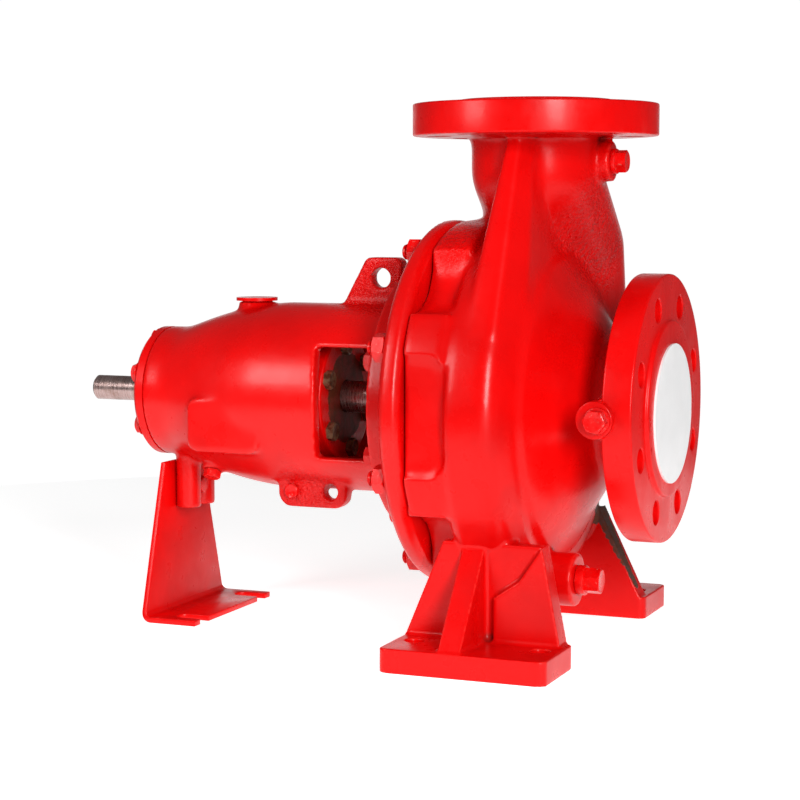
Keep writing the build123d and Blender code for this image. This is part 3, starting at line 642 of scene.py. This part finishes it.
def red_enamel(name, rough=(), chips=(), shine=0.14):
    """Glossy red enamel over cast iron: orange peel, rough cast places, thin corners, painted shade darkening the
    valleys.
    """
    s = Shader(name)
    cloud = s.noise(9.0, 4.0, 0.55)
    color = s.mix(s.between(cloud, 0.35, 0.7), red, deep_red)
    corner = s.corner()
    fray = s.noise(240.0, 3.0, 0.6)
    worn = s.math("MULTIPLY", s.between(corner, 0.16, 0.6), s.between(fray, 0.4, 0.6))
    color = s.mix(s.math("MULTIPLY", worn, 0.45), color, worn_red)
    # Painted shade: inner corners and valleys darken towards near black, in patches set by noise
    crease_shade_share = s.math("MULTIPLY", s.between(corner, -0.1, -0.5), s.between(s.noise(55.0), 0.3, 0.6))
    color = s.mix(s.math("MULTIPLY", crease_shade_share, 0.6), color, crease_shade)
    roughness = s.between(s.noise(34.0, 4.0, 0.6), 0.3, 0.7, 0.25, 0.36)
    coarse = s.nearest(rough)
    normal = s.bump(s.noise(38.0, 3.0, 0.5), 0.0007, 0.45)
    normal = s.bump(s.noise(300.0, 4.0, 0.55), 0.00012, 0.5, normal)
    if coarse is not None:
        lumps = s.math("ADD", s.noise(270.0, 4.0, 0.55), s.math("MULTIPLY", s.noise(620.0, 2.0), 0.35))
        normal = s.bump(s.math("MULTIPLY", lumps, coarse), 0.0034, 0.9, normal)
    if chips:
        torn = s.math("ADD", s.nearest(chips), s.math("MULTIPLY", s.noise(120.0, 5.0, 0.65), 0.9))
        bare = s.between(torn, 0.86, 0.98)
        iron = s.mix(s.between(s.noise(150.0, 5.0, 0.7), 0.35, 0.7), bare_iron, rust)
        color = s.mix(bare, color, iron)
        roughness = s.math("ADD", roughness, s.math("MULTIPLY", bare, 0.45))
        normal = s.bump(s.math("MULTIPLY", bare, s.noise(310.0, 6.0, 0.75)), 0.0016, 0.8, normal)
    return s.finish(
        color, roughness, normal, Coat_Weight=0.1, Coat_Roughness=0.2, Specular_IOR_Level=shine
    )


def red_on_machined(name):
    """Red enamel over turned or pressed steel: no cast grain, fine turning marks under the paint."""
    s = Shader(name)
    color = s.mix(s.between(s.noise(12.0, 4.0, 0.55), 0.35, 0.7), red, deep_red)
    dust = s.between(s.noise(70.0, 5.0, 0.65), 0.55, 0.8, 0.0, 0.2)
    color = s.mix(dust, color, worn_red)
    roughness = s.between(s.noise(50.0, 3.0, 0.6), 0.3, 0.7, 0.26, 0.4)
    normal = s.bump(s.noise(160.0, 3.0, 0.5), 0.00025, 0.4)
    normal = s.bump(s.noise(900.0, 2.0, 0.5), 0.00006, 0.5, normal)
    return s.finish(
        color, roughness, normal, Coat_Weight=0.1, Coat_Roughness=0.2, Specular_IOR_Level=0.14
    )


def stained_cover(name):
    """Red enamel that is thick at the rim of the cover and gone to rust further in."""
    s = Shader(name)
    axis_place = s.node("ShaderNodeMapping")
    s.put(axis_place.inputs["Vector"], s.place)
    axis_place.inputs["Location"].default_value = (0.0, 0.0, -shaft_height)
    flat = s.node("ShaderNodeVectorMath", operation="MULTIPLY")
    s.put(flat.inputs[0], axis_place.outputs["Vector"])
    flat.inputs[1].default_value = (0.0, 1.0, 1.0)
    out = s.node("ShaderNodeVectorMath", operation="LENGTH")
    s.put(out.inputs[0], flat.outputs["Vector"])
    ragged = s.math("ADD", out.outputs["Value"], s.math("MULTIPLY", s.noise(130.0, 5.0, 0.65), 0.012))
    rim = s.between(ragged, 0.041, 0.0425)
    stain = s.mix(s.between(s.noise(110.0, 5.0, 0.65), 0.35, 0.65), (0.24, 0.035, 0.02, 1.0), rust)
    color = s.mix(rim, stain, red)
    roughness = s.between(rim, 0.0, 1.0, 0.6, 0.3)
    normal = s.bump(s.noise(260.0, 5.0, 0.6), 0.0008, 0.7)
    return s.finish(
        color, roughness, normal, Coat_Weight=0.1, Coat_Roughness=0.2, Specular_IOR_Level=0.14
    )


def painted_bolt(name):
    """Steel bolt under a thin red coat that has gone from its corners."""
    s = Shader(name)
    color = s.mix(s.between(s.noise(90.0, 4.0, 0.6), 0.4, 0.7), red, deep_red)
    thin = s.between(s.noise(330.0, 4.0, 0.7), 0.6, 0.72)
    color = s.mix(s.math("MULTIPLY", thin, 0.75), color, (0.55, 0.22, 0.18, 1.0))
    roughness = s.between(s.noise(120.0, 3.0, 0.6), 0.3, 0.7, 0.22, 0.42)
    normal = s.bump(s.noise(520.0, 3.0, 0.6), 0.0002, 0.6)
    return s.finish(
        color, roughness, normal, Coat_Weight=0.1, Coat_Roughness=0.1, Specular_IOR_Level=0.25
    )


def worn_bolt(name):
    """Browned steel bolt with rust in its hollows."""
    s = Shader(name)
    steel = (0.3, 0.2, 0.11, 1.0)
    color = s.mix(s.between(s.noise(170.0, 5.0, 0.65), 0.4, 0.62), steel, rust)
    roughness = s.between(s.noise(140.0, 4.0, 0.6), 0.3, 0.7, 0.34, 0.62)
    normal = s.bump(s.noise(600.0, 4.0, 0.65), 0.00025, 0.7)
    return s.finish(color, roughness, normal, Metallic=0.6)


def turned_steel(name):
    """Turned shaft steel with rings of the tool, brown stains and some rust."""
    s = Shader(name)
    stretch = s.node("ShaderNodeMapping")
    s.put(stretch.inputs["Vector"], s.place)
    stretch.inputs["Scale"].default_value = (1.0, 0.02, 0.02)
    rings = s.noise(2600.0, 3.0, 0.6, stretch.outputs["Vector"])
    color = s.mix(s.between(rings, 0.3, 0.7), (0.34, 0.22, 0.2, 1.0), (0.55, 0.41, 0.39, 1.0))
    stain = s.between(s.noise(60.0, 5.0, 0.65), 0.48, 0.75)
    color = s.mix(s.math("MULTIPLY", stain, 0.7), color, (0.2, 0.1, 0.06, 1.0))
    roughness = s.math("ADD", s.between(rings, 0.3, 0.7, 0.22, 0.32), s.math("MULTIPLY", stain, 0.22))
    normal = s.bump(rings, 0.00008, 0.6)
    return s.finish(color, roughness, normal, Metallic=0.9)


def bronze(name):
    """Dull bronze with dark stains."""
    s = Shader(name)
    color = s.mix(s.between(s.noise(80.0, 5.0, 0.65), 0.4, 0.68), (0.55, 0.37, 0.15, 1.0), (0.1, 0.07, 0.035, 1.0))
    roughness = s.between(s.noise(120.0, 4.0, 0.6), 0.3, 0.7, 0.3, 0.55)
    normal = s.bump(s.noise(500.0, 4.0, 0.6), 0.00015, 0.6)
    return s.finish(color, roughness, normal, Metallic=0.85)


def raw_iron(name):
    """Unpainted cast iron inside the pump."""
    s = Shader(name)
    color = s.mix(s.between(s.noise(60.0, 5.0, 0.65), 0.4, 0.66), (0.13, 0.11, 0.1, 1.0), rust)
    roughness = s.between(s.noise(90.0, 4.0, 0.6), 0.3, 0.7, 0.5, 0.8)
    normal = s.bump(s.noise(380.0, 5.0, 0.65), 0.0005, 0.8)
    return s.finish(color, roughness, normal, Metallic=0.4)


def gasket_sheet(name):
    """Dark pressed fibre."""
    s = Shader(name)
    color = s.mix(s.noise(300.0, 4.0, 0.6), (0.012, 0.008, 0.007, 1.0), (0.045, 0.03, 0.025, 1.0))
    normal = s.bump(s.noise(700.0, 3.0, 0.6), 0.0002, 0.7)
    return s.finish(color, 0.8, normal)


def white_sheet(name):
    """Smooth white disc with the faintest unevenness."""
    s = Shader(name)
    color = s.mix(s.between(s.noise(40.0, 4.0, 0.6), 0.35, 0.7), (0.86, 0.86, 0.86, 1.0), (0.9, 0.9, 0.9, 1.0))
    roughness = s.between(s.noise(60.0, 3.0, 0.5), 0.3, 0.7, 0.34, 0.46)
    normal = s.bump(s.noise(90.0, 3.0, 0.5), 0.00012, 0.5)
    return s.finish(color, roughness, normal, Coat_Weight=0.15, Coat_Roughness=0.2)


# Bare iron on the far foot: down the edge of its gusset, and a branch across the web
gusset_bare_top = Vector((0.020, 0.100, 0.095))
gusset_bare_end = Vector((0.056, 0.100, 0.030))
branch_bare_end = Vector((0.003, 0.100, 0.054))
far_foot_bare = [((0.018, 0.090, 0.110), 0.010, 0.026), ((0.021, 0.100, 0.090), 0.010, 0.022)]
for k in range(1, 13):
    place = gusset_bare_top.lerp(gusset_bare_end, k / 12)
    far_foot_bare.append((tuple(place), 0.0055 - 0.0003 * k, 0.0125 - 0.0002 * k))
for k in range(1, 7):
    place = gusset_bare_top.lerp(branch_bare_end, k / 6)
    far_foot_bare.append((tuple(place), 0.004, 0.0115))
casing_paint = red_enamel(
    "casing_enamel",
    rough=(((0.05, 0.02, 0.31), 0.03, 0.07), ((-0.04, -0.05, 0.31), 0.01, 0.045)),
    chips=far_foot_bare,
)
bracket_paint = red_enamel(
    "bracket_enamel",
    rough=(((-0.125, 0.0, 0.275), 0.03, 0.055), ((-0.17, -0.035, 0.108), 0.015, 0.032)),
    chips=(((-0.128, 0.0, 0.18), 0.045, 0.075),),
    shine=0.22,
)
smooth_paint = red_on_machined("smooth_enamel")
inner_paint = stained_cover("inner_cover_enamel")
bolt_paint = painted_bolt("bolt_enamel")
old_bolt = worn_bolt("worn_steel")
shaft_steel = turned_steel("shaft_steel")
seal_bronze = bronze("seal_bronze")
iron = raw_iron("raw_iron")
gasket = gasket_sheet("gasket_fibre")
white = white_sheet("white_sheet")


# Volute casing: one skin with soft inner corners, cut inside both flanges


def casing_gain(points):
    """How freely inner corners fill: most where the neck and web run into the volute, least at the feet."""
    high = np.clip((points[:, 2] - 0.215) / 0.04, 0.0, 1.0) * np.clip((0.385 - points[:, 2]) / 0.02, 0.0, 1.0)
    low = np.clip((0.11 - points[:, 2]) / 0.03, 0.0, 1.0)
    boss = np.clip(1.6 - np.linalg.norm(points - np.array(discharge_boss), axis=1) / 0.02, 0.0, 1.0)
    return np.clip(0.6 + 0.4 * high - 0.5 * low - 0.9 * boss, 0.08, 1.0)


def casing_ridge(points):
    """How far outer corners wear: hardly at the feet and at the small boss of the neck."""
    low = np.clip((0.11 - points[:, 2]) / 0.03, 0.0, 1.0)
    boss = np.clip(1.6 - np.linalg.norm(points - np.array(discharge_boss), axis=1) / 0.02, 0.0, 1.0)
    return 0.16 - 0.13 * np.maximum(low, boss)


discharge_boss = (0.052, 0.01, 0.363)
casing = voxel_copy("volute_casing_skin", frame["nodes"]["volute_casing"].data, casing_voxel)
smooth(casing.data, 8)
relax(casing.data, 60, casing_ridge, casing_gain)
smooth(casing.data, 8)
cut_off(casing, (suction_plane - suction_flange_thick + flange_sink, 0, 0), (1, 0, 0))
cut_off(casing, (0, 0, discharge_plane - discharge_flange_thick + flange_sink), (0, 0, 1))


def tuck_under(mesh, axis, back, centre, fillet_radius, rim_radius, bolt_radius, count):
    """Hides the stump of a flange inside the crisp one, and leaves the fillet below it in sight."""
    points, edges = mesh_arrays(mesh)
    side = [k for k in range(3) if k != axis]
    offset = points[:, side] - np.array(centre)
    radius = np.hypot(offset[:, 0], offset[:, 1])
    near = (points[:, axis] > back - 0.0012) & (radius > fillet_radius) & (radius < rim_radius + 0.002)
    ramp = np.clip((radius - fillet_radius) / 0.006, 0.0, 1.0)
    lifted = np.maximum(points[:, axis], back + 0.0006 * ramp)
    points[near, axis] = lifted[near]
    pull = near & (radius > rim_radius - 0.0025)
    shrink = (rim_radius - 0.0025) / np.maximum(radius, 1e-6)
    for k, column in enumerate(side):
        points[pull, column] = centre[k] + offset[pull, k] * shrink[pull]
    for k in range(count):
        turn = 2 * math.pi * (k + 0.5) / count
        hole = np.array(centre) + bolt_radius * np.array([math.cos(turn), math.sin(turn)])
        away = points[:, side] - hole
        gap = np.hypot(away[:, 0], away[:, 1])
        wide = flange_hole / 2 + 0.0015
        push = (points[:, axis] > back - 0.003) & (gap < wide)
        for j, column in enumerate(side):
            points[push, column] = hole[j] + away[push, j] * (wide / np.maximum(gap[push], 1e-6))
    mesh.vertices.foreach_set("co", points.ravel())
    mesh.update()


points, edges = mesh_arrays(casing.data)
low_share = np.clip((0.1 - points[:, 2]) / 0.01, 0.0, 1.0)
points -= vertex_normals(casing.data) * (0.0003 * low_share)[:, None]
casing.data.vertices.foreach_set("co", points.ravel())
casing.data.update()
tuck_under(
    casing.data, 0, suction_plane - suction_flange_thick, (0.0, shaft_height), 0.064,
    suction_flange_radius, suction_pcd / 2, flange_holes,
)
tuck_under(
    casing.data, 2, discharge_plane - discharge_flange_thick, (0.0, 0.0), 0.060,
    discharge_flange_radius, discharge_pcd / 2, flange_holes,
)
thin_to(casing, casing_triangles)
mark_corners(casing.data)
dress(casing, casing_paint, "pump_body", ["volute_casing"], 60.0)


def crisp_flange(name, origin, axis, thick, radius, face_radius, bore_radius, pcd):
    """Turned flange with a raised face and drilled bolt holes whose edges are broken."""
    outline = rounded(
        [
            (-thick, bore_radius),
            (-thick, radius),
            (0.0, radius),
            (0.0, face_radius),
            (raised_face, face_radius - 0.0006),
            (raised_face, bore_radius),
        ],
        edge_radius,
    )
    body = lathe(name, outline, origin, axis, 160)
    first, second = across(axis)
    cutters = []
    for k in range(flange_holes):
        turn = 2 * math.pi * (k + 0.5) / flange_holes
        centre = Vector(origin) + (first * math.cos(turn) + second * math.sin(turn)) * pcd / 2
        hole = flange_hole / 2
        drill = [
            (-thick - 0.001, 0.0),
            (-thick - 0.001, hole + 0.0014),
            (-thick + 0.0009, hole),
            (-0.0009, hole),
            (0.001, hole + 0.0014),
            (0.001, 0.0),
        ]
        cutters.append(lathe("drill", drill, centre, axis, 40))
    return cut_by(body, cutters)


suction_flange = crisp_flange(
    "suction_flange_ring", (suction_plane, 0, shaft_height), X, suction_flange_thick,
    suction_flange_radius, suction_face_radius, suction_bore_radius, suction_pcd,
)
dress(suction_flange, smooth_paint, "pump_body", ["volute_casing"])
discharge_flange = crisp_flange(
    "discharge_flange_ring", (0, 0, discharge_plane), Z, discharge_flange_thick,
    discharge_flange_radius, discharge_face_radius, discharge_bore_radius, discharge_pcd,
)
dress(discharge_flange, smooth_paint, "pump_body", ["volute_casing"])

# Feet: finer skins that keep their edges, diving under the casing's skin at their upper end
foot_voxel = 0.001
foot_triangles = 60000
foot_inner_y = 0.080
foot_cut_z = 0.124
foot_dive = 0.0015


def crisp_foot(name, skin, side):
    """One foot cut from the fine skin."""
    piece = link(name, skin.copy())
    cut_off(piece, (0, 0, foot_cut_z), (0, 0, 1))
    cut_off(piece, (0, side * foot_inner_y, 0), (0, -side, 0))
    points, edges = mesh_arrays(piece.data)
    normals = vertex_normals(piece.data)
    high = np.clip((points[:, 2] - 0.108) / 0.01, 0.0, 1.0)
    inner = np.clip((foot_inner_y + 0.01 - side * points[:, 1]) / 0.008, 0.0, 1.0)
    points -= normals * (foot_dive * np.maximum(high, inner))[:, None]
    points = np.clip(points, np.array(cad_bounds[0]), np.array(cad_bounds[1]))
    piece.data.vertices.foreach_set("co", points.ravel())
    piece.data.update()
    thin_to(piece, foot_triangles)
    mark_corners(piece.data)
    return dress(piece, casing_paint, "pump_body", ["volute_casing"], 60.0)


fine = voxel_copy("fine_casing_skin", frame["nodes"]["volute_casing"].data, foot_voxel)
smooth(fine.data, 4)
crisp_foot("near_foot_skin", fine.data, -1)
crisp_foot("far_foot_skin", fine.data, 1)
fine_mesh = fine.data
bpy.data.objects.remove(fine)
bpy.data.meshes.remove(fine_mesh)

# Suction gauge lug: a round lug on the flank of the flange
gauge_lug = mounts["suction_flange"]["pos_m"][0] - 0.026
lug_radius = 0.0135
lug_outline = rounded([(0.0, 0.0), (0.0, lug_radius), (0.0305, lug_radius), (0.0305, 0.0)], 0.0012)
lug = lathe("suction_gauge_lug", lug_outline, (gauge_lug, -0.074, shaft_height), -Y, 64)
dress(lug, smooth_paint, "pump_body", ["volute_casing"])

# Bearing bracket: its own casting


def bracket_gain(points):
    """Inner corners of the bracket fill evenly."""
    return np.full(len(points), 0.6)


def bracket_ridge(points):
    """Outer corners of the bracket wear a little."""
    return np.full(len(points), 0.1)


bracket = voxel_copy("bearing_bracket_skin", frame["nodes"]["bearing_bracket"].data, bracket_voxel)
smooth(bracket.data, 8)
relax(bracket.data, 34, bracket_ridge, bracket_gain)
smooth(bracket.data, 4)
thin_to(bracket, bracket_triangles)
mark_corners(bracket.data)
dress(bracket, bracket_paint, "pump_body", ["bearing_bracket"], 60.0)

cover = voxel_copy("casing_cover_skin", frame["nodes"]["casing_cover"].data, cover_voxel)
smooth(cover.data, 8)
relax(cover.data, 12, bracket_ridge, bracket_gain)
thin_to(cover, cover_triangles)
mark_corners(cover.data)
dress(cover, bracket_paint, "pump_body", ["casing_cover"], 60.0)

# Fasteners and plugs
toward_drive = -X
drive_bolts = bolts(
    "drive_cover_screws", "drive_cover_bolts", toward_drive, small_bolt_flats, small_bolt_head,
    small_bolt_radius, small_washer_radius, small_washer, 1,
)
dress(drive_bolts, bolt_paint, "pump_body", ["drive_cover_bolts"])
inner_bolts = bolts(
    "pump_cover_screws", "pump_cover_bolts", X, small_bolt_flats, small_bolt_head, small_bolt_radius,
    seed=2,
)
dress(inner_bolts, old_bolt, "pump_body", ["pump_cover_bolts"])
flange_bolts = bolts(
    "lantern_screws", "lantern_bolts", toward_drive, small_bolt_flats, small_bolt_head,
    small_bolt_radius, seed=3,
)
dress(flange_bolts, bolt_paint, "pump_body", ["lantern_bolts"])
foot_bolt = bolts(
    "support_screw", "support_bolt", toward_drive, rim_nut_flats, support_head, rim_stud_radius,
    support_washer_radius, 0.0004, 4,
)
dress(foot_bolt, bolt_paint, "pump_body", ["support_bolt"])
lug_bolt = bolts(
    "lug_screw", "lower_lug_bolt", -Y, lug_bolt_flats, lug_bolt_head, 0.003, seed=5,
)
dress(lug_bolt, bolt_paint, "pump_body", ["lower_lug_bolt"])
oil_plug = bolts("oil_plug", "oil_drain_plug", oil_plug_out, oil_plug_flats, oil_plug_head, 0.004, seed=3)
dress(oil_plug, bolt_paint, "pump_body", ["oil_drain_plug"])
for name, node, axis, sizes, seed in (
    ("discharge_plug", "discharge_gauge_plug", X, gauge_plug, 2),
    ("suction_plug", "suction_gauge_plug", -Y, gauge_plug, 1),
    ("drain_plug", "casing_drain_plug", X, drain_plug, 3),
):
    dress(plug(name, node, axis, sizes, seed), bolt_paint, "pump_body", [node])

nuts = []
studs = []
found = tops("casing_nuts", toward_drive)
for (top, height), turn in zip(found, turns(len(found), 7)):
    nuts.append(hexagon(top - toward_drive * height, toward_drive, rim_nut_flats, height, turn, True))
for top, length in tops("casing_studs", toward_drive):
    studs.append(threaded(top - toward_drive * length, toward_drive, rim_stud_radius, length, 0.014))
dress(join("rim_nuts", nuts), bolt_paint, "pump_body", ["casing_nuts"])
dress(join("rim_studs", studs), bolt_paint, "pump_body", ["casing_studs"], 50.0)
nuts = []
studs = []
found = tops("gland_nuts", toward_drive)
for (top, height), turn in zip(found, turns(len(found), 4)):
    nuts.append(hexagon(top - toward_drive * height, toward_drive, small_bolt_flats, height, turn, True))
for top, length in tops("gland_studs", toward_drive):
    studs.append(threaded(top - toward_drive * length, toward_drive, gland_stud_radius, length, 0.02, 0.00125))
dress(join("seal_nuts", nuts), seal_bronze, "pump_body", ["gland_nuts"])
dress(join("seal_studs", studs), shaft_steel, "pump_body", ["gland_studs"], 50.0)

# Rear support foot: one sheet bent at the floor, with two open slots
low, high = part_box("rear_support_foot")


def bent_sheet(name):
    """Tapered sheet that stands, bends and runs forward along the floor."""
    inner = sheet_bend
    outer = inner + sheet
    centre = Vector((low.x + outer, 0, outer))
    top_half = 0.032
    foot_half = high.y
    stations = [(Vector((low.x, 0, high.z)), X, top_half)]
    steps = 10
    for k in range(steps + 1):
        angle = math.pi + math.pi / 2 * k / steps
        out = Vector((math.cos(angle), 0, math.sin(angle)))
        half = foot_half - (foot_half - top_half) * (centre.z + outer * out.z) / high.z
        stations.append((centre + out * outer, -out, half))
    stations.append((Vector((high.x, 0, 0)), Z, foot_half))
    rings = []
    for place, inward, half in stations:
        rings.append(
            [
                place + Y * -half,
                place + Y * half,
                place + inward * sheet + Y * half,
                place + inward * sheet + Y * -half,
            ]
        )
    piece = ring_mesh(name, rings)
    cutters = []
    for side in (-1, 1):
        y = side * sheet_slot_y
        end = high.x - sheet_slot_depth + sheet_slot_width / 2
        points = [(high.x + 0.01, y - sheet_slot_width / 2)]
        for k in range(13):
            angle = -math.pi / 2 - math.pi * k / 12
            points.append(
                (end + sheet_slot_width / 2 * math.cos(angle), y + sheet_slot_width / 2 * math.sin(angle))
            )
        points.append((high.x + 0.01, y + sheet_slot_width / 2))
        rings = [[Vector((px, py, z)) for px, py in points] for z in (-0.01, sheet + 0.01)]
        cutters.append(ring_mesh("slot", rings))
    cut_by(piece, cutters)
    edge = piece.modifiers.new("edge", "BEVEL")
    edge.width = 0.0007
    edge.segments = 2
    edge.limit_method = "ANGLE"
    edge.angle_limit = math.radians(50)
    return applied(piece)


support = bent_sheet("support_sheet")
dress(support, smooth_paint, "pump_body", ["rear_support_foot"])

# CAD pieces that keep their shape
for node, material in (
    ("cover_gasket", gasket),
    ("drive_bearing_cover", smooth_paint),
    ("pump_bearing_cover", inner_paint),
    ("seal_gland", seal_bronze),
    ("oil_filler_cap", smooth_paint),
    ("suction_cover_disc", white),
    ("pump_shaft", shaft_steel),
    ("shaft_sleeve", seal_bronze),
    ("impeller", iron),
    ("impeller_nut", shaft_steel),
):
    paint_node(node, material)

# Studio: pale floor, soft lights and the photograph's camera


def area_light(name, place, aim, size, power, tint=(1.0, 1.0, 1.0)):
    """Soft square light that looks at a point."""
    data = bpy.data.lights.new(name, "AREA")
    data.shape = "RECTANGLE"
    data.size, data.size_y = size
    data.energy = power
    data.color = tint
    light = bpy.data.objects.new(name, data)
    light.location = place
    light.rotation_euler = (Vector(aim) - Vector(place)).to_track_quat("-Z", "Y").to_euler()
    bpy.context.scene.collection.objects.link(light)
    return light


floor_radius = 0.95
floor_points = [
    (floor_radius * math.cos(k * math.pi / 60) - 0.1, floor_radius * math.sin(k * math.pi / 60), 0)
    for k in range(120)
]
floor = from_faces("studio_floor", floor_points, [tuple(range(120))])
paper = Shader("studio_paper")
floor.data.materials.append(
    paper.finish(
        paper.mix(paper.noise(3.0), (0.86, 0.86, 0.86, 1.0), (0.88, 0.88, 0.88, 1.0)),
        0.9,
        Specular_IOR_Level=0.1,
        Emission_Color=(1.0, 1.0, 1.0, 1.0),
        Emission_Strength=0.76,
    )
)

# Air: white behind the pump as the photograph shows it, dimmer all round
camera_azimuth = math.radians(22.255)
camera_elevation = math.radians(5.405)
backward = Vector(
    (
        math.sin(camera_azimuth) * math.cos(camera_elevation),
        -math.cos(camera_azimuth) * math.cos(camera_elevation),
        math.sin(camera_elevation),
    )
)
world = bpy.data.worlds.new("studio_air")
bpy.context.scene.world = world
world.use_nodes = True
air = world.node_tree.nodes
wires = world.node_tree.links
direction = air.new("ShaderNodeTexCoord")
toward_back = air.new("ShaderNodeVectorMath")
toward_back.operation = "DOT_PRODUCT"
toward_back.inputs[1].default_value = -backward
screen = air.new("ShaderNodeMapRange")
screen.interpolation_type = "SMOOTHSTEP"
screen.inputs["From Min"].default_value = 0.88
screen.inputs["From Max"].default_value = 0.955
screen.inputs["To Min"].default_value = 0.12
screen.inputs["To Max"].default_value = 1.02
wires.new(direction.outputs["Generated"], toward_back.inputs[0])
wires.new(toward_back.outputs["Value"], screen.inputs["Value"])
wires.new(screen.outputs["Result"], air["Background"].inputs["Strength"])
air["Background"].inputs["Color"].default_value = (1.0, 1.0, 1.0, 1.0)

middle = (-0.1, 0.0, 0.18)
area_light("key_box", (1.18, -1.58, 0.78), middle, (0.46, 0.9), 42.0)
area_light("left_box", (-0.50, -0.65, 0.52), (-0.225, -0.06, 0.2), (0.28, 0.3), 2.9)

# Camera solved from the photograph: turned 22.3 degrees, 5.4 degrees above level
camera_distance = 1.6146
camera_target = Vector((-0.11026, 0.0, 0.17864))
camera_data = bpy.data.cameras.new("photo_camera")
camera_data.sensor_width = 36.0
camera_data.lens = 92.87
camera = bpy.data.objects.new("photo_camera", camera_data)
camera.location = camera_target + backward * camera_distance
camera.rotation_euler = (-backward).to_track_quat("-Z", "Y").to_euler()
bpy.context.scene.collection.objects.link(camera)
bpy.context.scene.camera = camera
bpy.context.scene.view_settings.view_transform = "Standard"


def plain(pair):
    """Box corners as plain lists."""
    return [[float(c) for c in corner] for corner in pair]
